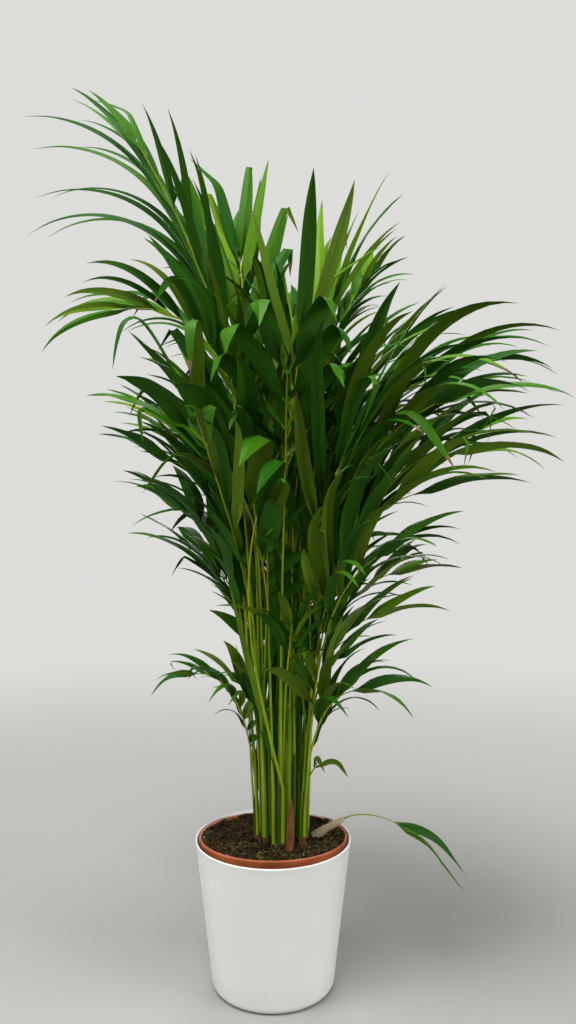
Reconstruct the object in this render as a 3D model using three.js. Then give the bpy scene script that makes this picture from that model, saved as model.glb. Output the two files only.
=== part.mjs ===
// A potted areca palm, about 1.25 m tall with its pot: a white outer pot, a terracotta plastic
// growing pot that leans in it, potting soil, a clump of sheathed canes, and the arching fronds.
// Millimetres, +Z up. The origin is the middle of the pot's flat underside, and -Y is the front.

import * as THREE from "three";

// Driving dimensions of the outer pot, a thin truncated cone.
const POT_HEIGHT = 205;
const POT_RIM_RADIUS = 109;
const POT_FOOT_RADIUS = 85;
const POT_WALL = 2.4;
const POT_FLOOR = 4;
const POT_FOOT_ROUNDING = 9;
const POT_FOOT_BENDS = 3;
const POT_SIDES = 32;

// The growing pot stands in the outer pot. Its front is propped a little higher than its back.
const LINER_HEIGHT = 200;
const LINER_RIM_RADIUS = 102.5;
const LINER_LIP = 5;
const LINER_LIP_HEIGHT = 12;
const LINER_FOOT_RADIUS = 68;
const LINER_WALL = 2;
const LINER_LEAN = THREE.MathUtils.degToRad(-3.2);
const SOIL_BELOW_LIP = 4;

// Clearance between pieces that touch in the real plant.
const SEAT = 0.3;

// The clump of canes in the middle of the soil.
const CANE_COUNT = 13;
const CLUMP_RADIUS = 44;
const CLUMP_MIDDLE = [13, 2];
const CANE_FOOT_RADIUS = 5.6;
const CANE_TOP_RADIUS = 5;
const CANE_SIDES = 6;
const CANE_WAIST = 0.84;
const CANE_LEAN = 0.045;
const CANE_SHORTEST = 30;
const CANE_LONGEST = 175;
const CANE_SHARE = 0.24;
const CANE_SPREAD = 25;
const FIRST_CANE_TURN = 0.4;
const FRONDS_ON_A_CANE = 3;

// Petioles stand in a ring on a cane's cut top, and each goes on as its frond's midrib.
const PETIOLE_RING = 3;
const PETIOLE_RADIUS = 2.2;
const PETIOLE_STEPS = 6;
const PETIOLE_LEAN = 0.05;
const MIDRIB_TIP_RADIUS = 1.3;
const BLADE_SHARE = 0.72;

// Leaflets. Their line has twelve steps, and their skin a ring at some of those: more on the
// fronds with long leaflets. A few leaflets are kinked, so that their ends hang.
const LEAFLET_ROOT = 9;
const LEAFLET_PITCH = 34;
const LONG_LEAFLET_PITCH = 0.11;
const LEAFLET_THICKNESS_SHARE = 0.0125;
const LEAFLET_THINNING = 0.25;
const LEAFLET_FOLD = 0.18;
const LEAFLET_STEPS = 12;
const LONG_LEAFLET = 240;
const SHORT_LEAFLET_RINGS = [3, 8];
const LONG_LEAFLET_RINGS = [3, 6, 9];
const SHINGLE = THREE.MathUtils.degToRad(24);
const KINK = THREE.MathUtils.degToRad(120);
const KINKED_SHARE = 0.07;
const BROAD_LEAFLET = 30;
const BROAD_KINKS = 0.12;
const KINK_PLACE = [0.6, 0.73];
const BEND_POWER = 1.7;
const CALM_LENGTH = 150;
const OUTWARD_PULL = 0.55;

// Leaflets keep clear of all else by a cell of this size, tested at points this far apart.
const CELL = 3;
const SAMPLE_STEP = 2.6;
const LINE_CLEARANCE = 0.4;
const POT_CLEARANCE = [8, 14];

const UP = new THREE.Vector3(0, 0, 1);
const DOWN = new THREE.Vector3(0, 0, -1);
const degrees = THREE.MathUtils.degToRad;
const mix = THREE.MathUtils.lerp;
const smooth = THREE.MathUtils.smoothstep;

// A repeatable number from 0 to 1 for each pair of counters.
function chance(a, b) {
  const wave = Math.sin(a * 12.9898 + b * 78.233) * 43758.5453;
  return wave - Math.floor(wave);
}

// The same, from -1 to 1.
function jitter(a, b) {
  return 2 * chance(a, b) - 1;
}

const palm = new THREE.Group();

function addPiece(name, geometry, color, roughness) {
  const material = new THREE.MeshStandardMaterial({ color, roughness, metalness: 0 });
  const mesh = new THREE.Mesh(geometry, material);
  mesh.name = name;
  palm.add(mesh);
}

// A solid turned about Z from [radius, height] points.
function turned(profile, sides) {
  const points = profile.map(([radius, height]) => new THREE.Vector2(radius, height));
  return new THREE.LatheGeometry(points, sides).rotateX(Math.PI / 2);
}

// The outer pot: flat underside, rounded foot edge, straight flared wall and a thin rim.
const potFlare = (POT_RIM_RADIUS - POT_FOOT_RADIUS) / POT_HEIGHT;
const potRadiusAt = (height) => POT_FOOT_RADIUS + potFlare * height;

function outerPot() {
  const profile = [[0, 0]];
  for (let i = 0; i <= POT_FOOT_BENDS; i += 1) {
    const turn = (i / POT_FOOT_BENDS) * (Math.PI / 2);
    const inset = POT_FOOT_ROUNDING * (1 - Math.sin(turn));
    const height = POT_FOOT_ROUNDING * (1 - Math.cos(turn));
    profile.push([potRadiusAt(height) - inset, height]);
  }
  profile.push([POT_RIM_RADIUS, POT_HEIGHT]);
  profile.push([POT_RIM_RADIUS - POT_WALL, POT_HEIGHT]);
  profile.push([potRadiusAt(POT_FLOOR) - POT_WALL - POT_FOOT_ROUNDING / 3, POT_FLOOR]);
  profile.push([0, POT_FLOOR]);
  return turned(profile, POT_SIDES);
}
addPiece("outer_pot", outerPot(), 0xeef0ee, 0.45);

// The growing pot and its soil share one leaning frame, whose own floor is at height 0.
const linerFrame = new THREE.Matrix4()
  .makeTranslation(
    0,
    LINER_HEIGHT * Math.sin(LINER_LEAN),
    POT_FLOOR + SEAT - LINER_FOOT_RADIUS * Math.sin(LINER_LEAN),
  )
  .multiply(new THREE.Matrix4().makeRotationX(LINER_LEAN));
const linerRadiusAt = (height) =>
  mix(LINER_FOOT_RADIUS, LINER_RIM_RADIUS - LINER_LIP, height / LINER_HEIGHT);
const soilLevel = LINER_HEIGHT - SOIL_BELOW_LIP;

function growingPot() {
  const lipFoot = LINER_HEIGHT - LINER_LIP_HEIGHT;
  return turned(
    [
      [0, 0],
      [LINER_FOOT_RADIUS, 0],
      [linerRadiusAt(lipFoot), lipFoot],
      [LINER_RIM_RADIUS, lipFoot + 1],
      [LINER_RIM_RADIUS, LINER_HEIGHT],
      [linerRadiusAt(LINER_HEIGHT) - LINER_WALL, LINER_HEIGHT],
      [LINER_FOOT_RADIUS - LINER_WALL, LINER_WALL],
      [0, LINER_WALL],
    ],
    POT_SIDES,
  ).applyMatrix4(linerFrame);
}
addPiece("growing_pot", growingPot(), 0xb4532f, 0.6);

function soil() {
  const foot = LINER_WALL + SEAT;
  const inside = LINER_WALL + SEAT * 2;
  return turned(
    [
      [0, foot],
      [linerRadiusAt(foot) - inside, foot],
      [linerRadiusAt(soilLevel) - inside, soilLevel],
      [0, soilLevel],
    ],
    POT_SIDES,
  ).applyMatrix4(linerFrame);
}
addPiece("soil", soil(), 0x2b211a, 1);

// The height of the soil's leaning top under a point.
function soilHeight(x, y) {
  const middle = new THREE.Vector3(0, 0, soilLevel).applyMatrix4(linerFrame);
  const normal = UP.clone().transformDirection(linerFrame);
  return middle.z - ((x - middle.x) * normal.x + (y - middle.y) * normal.y) / normal.z;
}

// A closed skin of triangles. A ring is listed anticlockwise as seen from the far end of its limb.
class Skin {
  constructor() {
    this.points = [];
    this.faces = [];
  }

  ring(vertices) {
    const first = this.points.length;
    this.points.push(...vertices);
    return vertices.map((_, i) => first + i);
  }

  wall(a, b, side) {
    const next = (side + 1) % a.length;
    this.faces.push([a[side], a[next], b[next]], [a[side], b[next], b[side]]);
  }

  // The same wall, folded along its other diagonal.
  crossedWall(a, b, side) {
    const next = (side + 1) % a.length;
    this.faces.push([a[side], a[next], b[side]], [a[next], b[next], b[side]]);
  }

  band(a, b) {
    a.forEach((_, side) => this.wall(a, b, side));
  }

  // A band of a thin four-cornered blade, whose corners 0 and 2 are its edges. Every wall folds from
  // an edge to the middle, so that roof and underside keep apart however the blade twists.
  bladeBand(a, b) {
    this.wall(a, b, 0);
    this.crossedWall(a, b, 1);
    this.wall(a, b, 2);
    this.crossedWall(a, b, 3);
  }

  startCap(ring) {
    for (let i = 1; i + 1 < ring.length; i += 1) this.faces.push([ring[0], ring[i + 1], ring[i]]);
  }

  endCap(ring) {
    for (let i = 1; i + 1 < ring.length; i += 1) this.faces.push([ring[0], ring[i], ring[i + 1]]);
  }

  point(ring, apex) {
    const [tip] = this.ring([apex]);
    ring.forEach((from, i) => this.faces.push([from, ring[(i + 1) % ring.length], tip]));
  }

  geometry() {
    const positions = this.points.flatMap((p) => [p.x, p.y, p.z]);
    return new THREE.BufferGeometry()
      .setAttribute("position", new THREE.Float32BufferAttribute(positions, 3))
      .setIndex(this.faces.flat());
  }
}

// Canes: each is a bundle of leaf sheaths, cut flat where its petioles part. They fill the clump
// along a sunflower spiral and lean outwards.
const GOLDEN_ANGLE = Math.PI * (3 - Math.sqrt(5));
const clumpMiddle = new THREE.Vector3(...CLUMP_MIDDLE, 0);
const canes = Array.from({ length: CANE_COUNT }, (_, k) => {
  const turn = k * GOLDEN_ANGLE + FIRST_CANE_TURN;
  const radius = CLUMP_RADIUS * Math.sqrt((k + 0.5) / CANE_COUNT) - CANE_FOOT_RADIUS / 2;
  const away = new THREE.Vector3(Math.cos(turn), Math.sin(turn), 0);
  const foot = clumpMiddle.clone().addScaledVector(away, radius);
  foot.z = soilHeight(foot.x, foot.y) + SEAT;
  const axis = UP.clone().addScaledVector(away, CANE_LEAN * (radius / CLUMP_RADIUS)).normalize();
  return { k, foot, axis, slots: [] };
});

// Fronds. Each is named by where the tip of its midrib is, how steeply the midrib ends (degrees
// above level), its pairs of leaflets, the length and width of the longest, how far they droop and
// how wide they stand from the midrib (degrees), the share of their length left at its tip, and
// how long its right-hand leaflets are for its left-hand ones.
const frondPlan = [
  // the tall fronds that make the top of the crown
  ["top_right", 40, -90, 887, 66, 3, 215, 30, 6, 20, 0.95, 1],
  ["upper_left", -180, -60, 1152, 56, 11, 430, 16, 88, 34, 0.24, 0.5],
  ["top_left", -80, 50, 1010, 72, 9, 235, 25, 42, 28, 0.75, 1],
  ["top_middle", -50, 60, 1035, 82, 7, 220, 17, 18, 18, 0.8, 1],
  ["upper_right", 84, 20, 965, 66, 7, 225, 20, 28, 25, 0.85, 1],
  ["high_right", 140, 60, 1010, 55, 8, 150, 18, 65, 48, 0.5, 1],
  ["front_fan", 20, -150, 842, 76, 4, 215, 38, 80, 40, 0.8, 0.95],
  // the left side, from high to low
  ["left_arch", -188, -100, 922, -10, 8, 190, 14, 70, 50, 0.65, 0.9],
  ["left_high", -122, 40, 835, 42, 8, 190, 22, 45, 38, 0.6, 1],
  ["left_fan", -110, -120, 775, 36, 9, 215, 30, 70, 40, 0.6, 1],
  ["left_middle", -140, -20, 735, 30, 9, 190, 23, 45, 38, 0.6, 1],
  ["left_low", -138, 40, 670, 30, 6, 170, 22, 60, 38, 0.6, 1],
  ["left_spread", -86, 80, 575, 48, 4, 130, 20, 60, 34, 0.7, 1],
  ["left_foot", -48, -20, 430, 55, 4, 120, 18, 70, 40, 0.7, 1],
  ["left_sprig", -110, -40, 442, -5, 5, 100, 13, 90, 46, 0.7, 1],
  // the right side, from high to low
  ["right_high", 160, 50, 880, 46, 9, 230, 25, 50, 36, 0.6, 1],
  ["right_arch", 245, -50, 856, 14, 10, 260, 24, 90, 38, 0.55, 1],
  ["right_fan", 210, -140, 800, 18, 10, 260, 26, 90, 40, 0.6, 1],
  ["right_long", 262, 20, 745, 10, 10, 270, 22, 75, 36, 0.6, 1],
  ["right_middle", 195, -70, 688, 14, 9, 240, 24, 65, 38, 0.6, 1],
  ["right_low", 140, -110, 610, 28, 8, 190, 24, 80, 40, 0.6, 1],
  ["right_spread", 178, 70, 570, 14, 6, 175, 20, 60, 38, 0.6, 1],
  ["right_drape", 140, 0, 515, 20, 6, 165, 22, 55, 36, 0.7, 1],
  ["right_blade", 96, 40, 452, 34, 5, 145, 21, 60, 36, 0.7, 1],
  ["right_foot", 115, -60, 425, 10, 6, 150, 20, 85, 38, 0.7, 1],
  ["right_sprig", 64, 8, 304, 12, 1, 58, 13, 125, 80, 1, 1],
  // the front, towards the viewer
  ["front_left", -95, -130, 790, 62, 6, 265, 24, 45, 25, 0.8, 1],
  ["front_right", 100, -125, 765, 62, 6, 265, 24, 45, 25, 0.8, 1],
  ["front_low", 26, -80, 520, 70, 3, 95, 16, 55, 46, 0.8, 1],
];

// The back fills with fronds in three storeys, spread evenly over an arc (degrees) and varied a
// little in reach and height.
const BACK_ARC = [28, 152];
const BACK_REACH_SPREAD = 0.12;
const BACK_HEIGHT_SPREAD = 45;
const BACK_DROOP = 55;
const BACK_OPEN = 38;
const BACK_CREST = 0.6;
const BACK_STOREYS = [
  { fronds: 3, reach: 120, height: 960, arch: 62, pairs: 8, leaf: 220, width: 25 },
  { fronds: 4, reach: 200, height: 810, arch: 35, pairs: 9, leaf: 225, width: 26 },
  { fronds: 3, reach: 185, height: 610, arch: 25, pairs: 7, leaf: 185, width: 24 },
];
BACK_STOREYS.forEach((storey, level) => {
  for (let i = 0; i < storey.fronds; i += 1) {
    const azimuth = degrees(mix(...BACK_ARC, (i + 0.5) / storey.fronds));
    const reach = storey.reach * (1 + BACK_REACH_SPREAD * jitter(level, i));
    frondPlan.push([
      `back_${level + 1}_${i + 1}`,
      reach * Math.cos(azimuth),
      reach * Math.sin(azimuth),
      storey.height + BACK_HEIGHT_SPREAD * jitter(i, level + 7),
      storey.arch,
      storey.pairs,
      storey.leaf,
      storey.width,
      BACK_DROOP,
      BACK_OPEN,
      BACK_CREST,
      1,
    ]);
  }
});

const fronds = frondPlan.map(
  ([name, x, y, z, arch, pairs, leaf, width, droop, open, crest, right], index) => ({
    name,
    index,
    tip: new THREE.Vector3(x, y, z),
    arch: degrees(arch),
    pairs,
    leaf,
    width,
    droop: degrees(droop),
    open: degrees(open),
    crest,
    right,
  }),
);

// Each frond springs from the cane nearest to its own side of the clump that has room left. The
// fronds that reach out furthest for their height choose first, and so take the outer canes.
const slant = (frond) => Math.hypot(frond.tip.x, frond.tip.y) / (frond.tip.z - POT_HEIGHT);
const steepestSlant = Math.max(...fronds.map(slant));
for (const frond of [...fronds].sort((a, b) => slant(b) - slant(a))) {
  const share = Math.sqrt(slant(frond) / steepestSlant);
  const wanted = new THREE.Vector3(frond.tip.x, frond.tip.y, 0)
    .setLength(CLUMP_RADIUS * share)
    .add(clumpMiddle);
  const distance = (cane) => Math.hypot(cane.foot.x - wanted.x, cane.foot.y - wanted.y);
  const open = canes.filter((cane) => cane.slots.length < FRONDS_ON_A_CANE);
  frond.cane = open.sort((a, b) => distance(a) - distance(b))[0];
  frond.cane.slots.push(frond);
}

// A cane is as tall as its lowest frond lets it be.
for (const cane of canes) {
  const lowest = Math.min(...cane.slots.map((frond) => frond.tip.z - cane.foot.z));
  const wanted = lowest * CANE_SHARE + CANE_SPREAD * jitter(cane.k, 3);
  cane.length = THREE.MathUtils.clamp(wanted, CANE_SHORTEST, CANE_LONGEST);
  cane.top = cane.foot.clone().addScaledVector(cane.axis, cane.length);
}

function caneSkin(cane) {
  const skin = new Skin();
  const across = new THREE.Vector3(0, 1, 0).cross(cane.axis).normalize();
  const over = cane.axis.clone().cross(across);
  const ringAt = (share, radius) =>
    skin.ring(
      Array.from({ length: CANE_SIDES }, (_, i) => {
        const turn = (i / CANE_SIDES) * 2 * Math.PI;
        return cane.foot
          .clone()
          .addScaledVector(cane.axis, cane.length * share)
          .addScaledVector(across, radius * Math.cos(turn))
          .addScaledVector(over, radius * Math.sin(turn));
      }),
    );
  const foot = ringAt(0, CANE_FOOT_RADIUS);
  for (const corner of foot) {
    const point = skin.points[corner];
    point.z = soilHeight(point.x, point.y) + SEAT;
  }
  const waist = ringAt(0.5, CANE_FOOT_RADIUS * CANE_WAIST);
  const top = ringAt(1, CANE_TOP_RADIUS);
  skin.startCap(foot);
  skin.band(foot, waist);
  skin.band(waist, top);
  skin.endCap(top);
  return skin;
}
for (const cane of canes) {
  addPiece(`cane_${String(cane.k + 1).padStart(2, "0")}`, caneSkin(cane).geometry(), 0x7f9a2c, 0.5);
}

// On a cane's top the petioles stand in a ring, each on the side it will lean to.
for (const cane of canes) {
  const heading = (frond) => Math.atan2(frond.tip.y - cane.top.y, frond.tip.x - cane.top.x);
  cane.slots.sort((a, b) => heading(a) - heading(b));
  const first = heading(cane.slots[0]);
  cane.slots.forEach((frond, i) => {
    const turn = first + (i / FRONDS_ON_A_CANE) * 2 * Math.PI;
    frond.foot = cane.top
      .clone()
      .add(new THREE.Vector3(Math.cos(turn), Math.sin(turn), 0).multiplyScalar(PETIOLE_RING))
      .addScaledVector(cane.axis, SEAT);
  });
}

// The midrib's line leaves the cane along the cane's own lean and ends at the frond's arch. It is
// bowed to one side by so much that it clears the canes and the midribs that are there already.
const BOWS = [0, 0.015, -0.015, 0.03, -0.03, 0.05, -0.05, 0.07, -0.07, 0.1, -0.1, 0.13, -0.13];
const FOOT_PULL = 0.5;
const TIP_PULL = 0.3;

function bowedLine(frond, bow) {
  const span = frond.tip.distanceTo(frond.foot);
  const aside = UP.clone().cross(frond.away).multiplyScalar(bow * span);
  const start = frond.cane.axis.clone().addScaledVector(frond.away, PETIOLE_LEAN).normalize();
  const end = frond.away
    .clone()
    .multiplyScalar(Math.cos(frond.arch))
    .addScaledVector(UP, Math.sin(frond.arch));
  return new THREE.CubicBezierCurve3(
    frond.foot,
    frond.foot.clone().addScaledVector(start, span * FOOT_PULL).add(aside),
    frond.tip.clone().addScaledVector(end, -span * TIP_PULL).add(aside),
    frond.tip,
  );
}

// A broken line as a row of balls, for measuring how far apart two of them are.
function ballsAlong(points, startRadius, endRadius) {
  const balls = [];
  for (let i = 0; i + 1 < points.length; i += 1) {
    const steps = Math.ceil(points[i].distanceTo(points[i + 1]) / SAMPLE_STEP);
    for (let j = 0; j <= steps; j += 1) {
      const { x, y, z } = points[i].clone().lerp(points[i + 1], j / steps);
      const share = (i + j / steps) / (points.length - 1);
      balls.push({ x, y, z, radius: mix(startRadius, endRadius, share) });
    }
  }
  return balls;
}

// Where a pair of leaflets sits on the midrib, as a share of its length: pair 0 is the lowest.
function pairShare(frond, pair) {
  return 1 - ((frond.pairs - 1 - pair) * frond.pitch + LEAFLET_ROOT) / frond.length;
}

// The shares of the midrib's length that have a ring: evenly up the petiole, then below and above
// each pair of leaflets.
function ringShares(frond) {
  const halfRoot = LEAFLET_ROOT / 2 / frond.length;
  const petioleEnd = pairShare(frond, 0) - halfRoot;
  const petiole = Array.from({ length: PETIOLE_STEPS }, (_, i) => (petioleEnd * i) / PETIOLE_STEPS);
  const pairs = Array.from({ length: frond.pairs }, (_, pair) => [
    pairShare(frond, pair) - halfRoot,
    pairShare(frond, pair) + halfRoot,
  ]);
  return [...petiole, ...pairs.flat()];
}

function setLine(frond, line) {
  frond.line = line;
  frond.length = line.getLength();
  const apart = Math.max(LEAFLET_PITCH, LONG_LEAFLET_PITCH * frond.leaf);
  frond.pitch = Math.min(apart, (frond.length * BLADE_SHARE) / frond.pairs);
  frond.shares = ringShares(frond);
  const points = [...frond.shares, 1].map((share) => line.getPointAt(share));
  frond.balls = ballsAlong(points, PETIOLE_RADIUS, MIDRIB_TIP_RADIUS);
}

function clearOf(row, others) {
  return others.every(({ balls }) =>
    balls.every((b) =>
      row.every((a) => {
        const reach = a.radius + b.radius + LINE_CLEARANCE;
        if (Math.abs(a.z - b.z) > reach) return true;
        return (a.x - b.x) ** 2 + (a.y - b.y) ** 2 + (a.z - b.z) ** 2 > reach ** 2;
      }),
    ),
  );
}

const placedLines = canes.map((cane) => ({
  cane,
  balls: ballsAlong([cane.foot, cane.top], CANE_FOOT_RADIUS, CANE_TOP_RADIUS),
}));
for (const frond of fronds) {
  frond.away = frond.tip.clone().sub(frond.foot).setZ(0).normalize();
  const others = placedLines.filter((placed) => placed.cane !== frond.cane);
  for (const bow of BOWS) {
    setLine(frond, bowedLine(frond, bow));
    if (clearOf(frond.balls, others)) break;
  }
  placedLines.push({ frond, balls: frond.balls });
}

// Old leaf parts at the foot of the clump. A dry sheath has fallen to the right over the rim, and
// its last leaf still hangs from it. A brown pointed sheath stands in front.
const STRAY_FIRST_PULL = 26;
const STRAY_SECOND_PULL = [150, -9, 238];
const STRAY_TIP = [178, -10, 225];
const DRY_SHEATH_SIDES = 6;
const DRY_SHEATH_RADII = [5.5, 5.4, 4.2, 2.6];
const DRY_SHEATH_FOOT = [57, 2];
const DRY_SHEATH_KNEE = [74, 0, 12];
const DRY_SHEATH_END = [99, -4, 27];
const BROWN_SHEATH_PLACE = [23, -52];
const BROWN_SHEATH_SIZE = [11, 4, 70];

function onSoil(x, y, height) {
  return new THREE.Vector3(x, y, soilHeight(x, y) + SEAT + height);
}

const dryLine = new THREE.QuadraticBezierCurve3(
  onSoil(...DRY_SHEATH_FOOT, 0),
  onSoil(...DRY_SHEATH_KNEE),
  onSoil(...DRY_SHEATH_END),
);

function drySheath() {
  const skin = new Skin();
  let last = null;
  DRY_SHEATH_RADII.forEach((radius, i) => {
    const share = i / (DRY_SHEATH_RADII.length - 1);
    const at = dryLine.getPointAt(share);
    const along = dryLine.getTangentAt(share);
    const across = new THREE.Vector3(0, 1, 0).cross(along).normalize();
    const over = along.clone().cross(across);
    const corners = Array.from({ length: DRY_SHEATH_SIDES }, (_, k) => {
      const turn = (k / DRY_SHEATH_SIDES) * 2 * Math.PI;
      const corner = at
        .clone()
        .addScaledVector(across, radius * Math.cos(turn))
        .addScaledVector(over, radius * Math.sin(turn));
      return i === 0 ? onSoil(corner.x, corner.y, 0) : corner;
    });
    const ring = skin.ring(corners);
    if (last) skin.band(last, ring);
    else skin.startCap(ring);
    last = ring;
  });
  skin.endCap(last);
  return skin;
}
addPiece("dry_sheath", drySheath().geometry(), 0xb59a6a, 0.8);

function brownSheath() {
  const [x, y] = BROWN_SHEATH_PLACE;
  const [width, depth, height] = BROWN_SHEATH_SIZE;
  const skin = new Skin();
  const ringAt = (level, share) =>
    skin.ring(
      [
        [1, 0],
        [0, 1],
        [-1, 0],
        [0, -1],
      ].map(([across, back]) =>
        onSoil(x + (across * width * share) / 2, y + (back * depth * share) / 2, level * height),
      ),
    );
  const [foot, waist] = [ringAt(0, 1), ringAt(0.55, 0.85)];
  skin.startCap(foot);
  skin.band(foot, waist);
  skin.point(waist, onSoil(x, y + depth / 2, height));
  return skin;
}
addPiece("brown_sheath", brownSheath().geometry(), 0x6d3a22, 0.8);

const strayAxis = dryLine.getTangentAt(1);
const strayFoot = dryLine.getPointAt(1).addScaledVector(strayAxis, SEAT);
const strayLine = new THREE.CubicBezierCurve3(
  strayFoot,
  strayFoot.clone().addScaledVector(strayAxis, STRAY_FIRST_PULL),
  new THREE.Vector3(...STRAY_SECOND_PULL),
  new THREE.Vector3(...STRAY_TIP),
);
const stray = {
  name: "stray",
  index: fronds.length,
  foot: strayFoot,
  cane: { axis: strayAxis },
  away: new THREE.Vector3(1, 0, 0),
  pairs: 1,
  leaf: 138,
  width: 15,
  droop: degrees(66),
  open: degrees(26),
  crest: 1,
  right: 0.86,
};
setLine(stray, strayLine);
placedLines.push({ frond: stray, balls: stray.balls });
fronds.push(stray);

// The midrib's place and axes at a share of its length: along, over (the upper side) and across.
function midribAt(frond, share) {
  const at = frond.line.getPointAt(share);
  const along = frond.line.getTangentAt(share);
  const over = UP.clone()
    .multiplyScalar(along.dot(frond.away))
    .addScaledVector(frond.away, -along.z);
  over.addScaledVector(along, -over.dot(along)).normalize();
  const across = over.clone().cross(along);
  const radius = mix(PETIOLE_RADIUS, MIDRIB_TIP_RADIUS, share);
  return { at, along, over, across, radius };
}

const LEFT = -1;
const RIGHT = 1;

// A leaflet's share of the longest one's length: less at the frond's foot, and least at its tip.
const LONGEST_AT = 0.4;
const FOOT_LEAFLET = 0.72;
function lengthProfile(frond, share) {
  if (share < LONGEST_AT) return mix(FOOT_LEAFLET, 1, share / LONGEST_AT);
  return mix(1, frond.crest, ((share - LONGEST_AT) / (1 - LONGEST_AT)) ** 1.6);
}

// A leaflet's width profile: narrow where it leaves the midrib, widest at a third, then a long taper.
function widthProfile(share) {
  return Math.min(1, 0.34 + 2.4 * share) * (1 - share ** 2.2) ** 0.9;
}

// How a leaflet may be turned aside to keep clear of the others, the least change first: how much
// of its length is left, and degrees to lift, droop and open it by.
const TWEAKS = [1, 0.92, 0.8, 0.66, 0.5].flatMap((length) =>
  [0, 9, -9, 18, -18, 28].flatMap((lift) =>
    [0, -14, 16].map((droop) => ({ length, lift, droop, open: (lift - droop) / 4 })),
  ),
);

// A leaflet's line: it leaves the midrib forwards and a little upwards, bends down and outwards
// under its own weight, and turns its blade flat to that bend.
function leafletLine(frond, pair, side, tweak, slim) {
  const share = frond.pairs > 1 ? pair / (frond.pairs - 1) : 1;
  const rib = midribAt(frond, pairShare(frond, pair));
  const onRight = side === RIGHT;
  const seed = frond.index * 40 + pair * 2 + (onRight ? 1 : 0);
  const sideShare = onRight ? frond.right : 1;
  const calm = Math.min(1, CALM_LENGTH / frond.leaf);
  const open =
    frond.open * sideShare * mix(1.15, 0.45, share) +
    degrees(4 * calm * jitter(seed, 1) + tweak.open);
  const lift = degrees(mix(30, 14, share) + 8 * calm * jitter(seed, 2) + tweak.lift);
  const profile = lengthProfile(frond, share) * sideShare;
  const length = frond.leaf * profile * (1 + 0.07 * jitter(seed, 3)) * tweak.length;
  const heading = rib.across
    .clone()
    .multiplyScalar(side * Math.cos(lift))
    .addScaledVector(rib.over, Math.sin(lift))
    .multiplyScalar(Math.sin(open))
    .addScaledVector(rib.along, Math.cos(open))
    .normalize();
  const pull = DOWN.clone().addScaledVector(frond.away, OUTWARD_PULL).normalize();
  const bendAxis = heading.clone().cross(pull).normalize();
  const most = Math.max(0, heading.angleTo(pull) - 0.15);
  const droop =
    (frond.droop * profile + degrees(tweak.droop)) * (1 + 0.25 * calm * jitter(seed, 4));
  const kinked = KINKED_SHARE + BROAD_KINKS * Math.max(0, frond.width - BROAD_LEAFLET);
  const kink = chance(seed, 5) < kinked ? KINK : 0;
  const start = rib.at.clone().addScaledVector(rib.across, side * rib.radius * 0.7);
  const acrossStart = rib.along.clone().addScaledVector(heading, -rib.along.dot(heading)).normalize();
  acrossStart.applyAxisAngle(heading, side * SHINGLE);
  const flat = bendAxis.clone().multiplyScalar(Math.sign(bendAxis.dot(acrossStart)) || 1);
  const widest = (frond.width * slim) / 2;
  const places = [];
  const at = start.clone();
  for (let i = 0; i <= LEAFLET_STEPS; i += 1) {
    const s = i / LEAFLET_STEPS;
    const bend = Math.min(most, droop * s ** BEND_POWER + kink * smooth(s, ...KINK_PLACE));
    const along = heading.clone().applyAxisAngle(bendAxis, bend);
    if (i > 0) at.addScaledVector(along, length / LEAFLET_STEPS);
    const across = acrossStart.clone().lerp(flat, 0.85 * smooth(s, 0.05, 0.7));
    across.addScaledVector(along, -across.dot(along)).normalize();
    const over = along.clone().cross(across).multiplyScalar(-side);
    places.push({ s, at: at.clone(), along, across, over, half: widest * widthProfile(s) });
  }
  return { frond, length, places };
}

function skinRings(frond) {
  return frond.leaf < LONG_LEAFLET ? SHORT_LEAFLET_RINGS : LONG_LEAFLET_RINGS;
}

// The four corners of a leaflet's section, a shallow roof: near edge, ridge, far edge and underside.
function leafletSection(leaflet, place) {
  const thick = leaflet.length * LEAFLET_THICKNESS_SHARE * (1 - LEAFLET_THINNING * place.s);
  const edge = (sign) =>
    place.at
      .clone()
      .addScaledVector(place.across, sign * place.half)
      .addScaledVector(place.over, -LEAFLET_FOLD * place.half);
  return {
    near: edge(-1),
    far: edge(1),
    ridge: place.at.clone().addScaledVector(place.over, thick / 2),
    under: place.at.clone().addScaledVector(place.over, -thick / 2),
  };
}

// The space that pieces take up, kept as cells. Each cell knows the frond that it went to.
class Space {
  constructor() {
    this.cells = new Map();
  }

  key(point, dx = 0, dy = 0, dz = 0) {
    const x = Math.floor(point.x / CELL) + dx + 512;
    const y = Math.floor(point.y / CELL) + dy + 512;
    const z = Math.floor(point.z / CELL) + dz + 512;
    return (x * 1024 + y) * 1024 + z;
  }

  claim(points, owner) {
    for (const point of points) {
      for (let dx = -1; dx <= 1; dx += 1) {
        for (let dy = -1; dy <= 1; dy += 1) {
          for (let dz = -1; dz <= 1; dz += 1) {
            const key = this.key(point, dx, dy, dz);
            if (!this.cells.has(key)) this.cells.set(key, owner);
          }
        }
      }
    }
  }

  clashes(point, allowed) {
    const owner = this.cells.get(this.key(point));
    return owner !== undefined && !allowed(owner);
  }
}
const midribSpace = new Space();
const leafletSpace = new Space();

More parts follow.
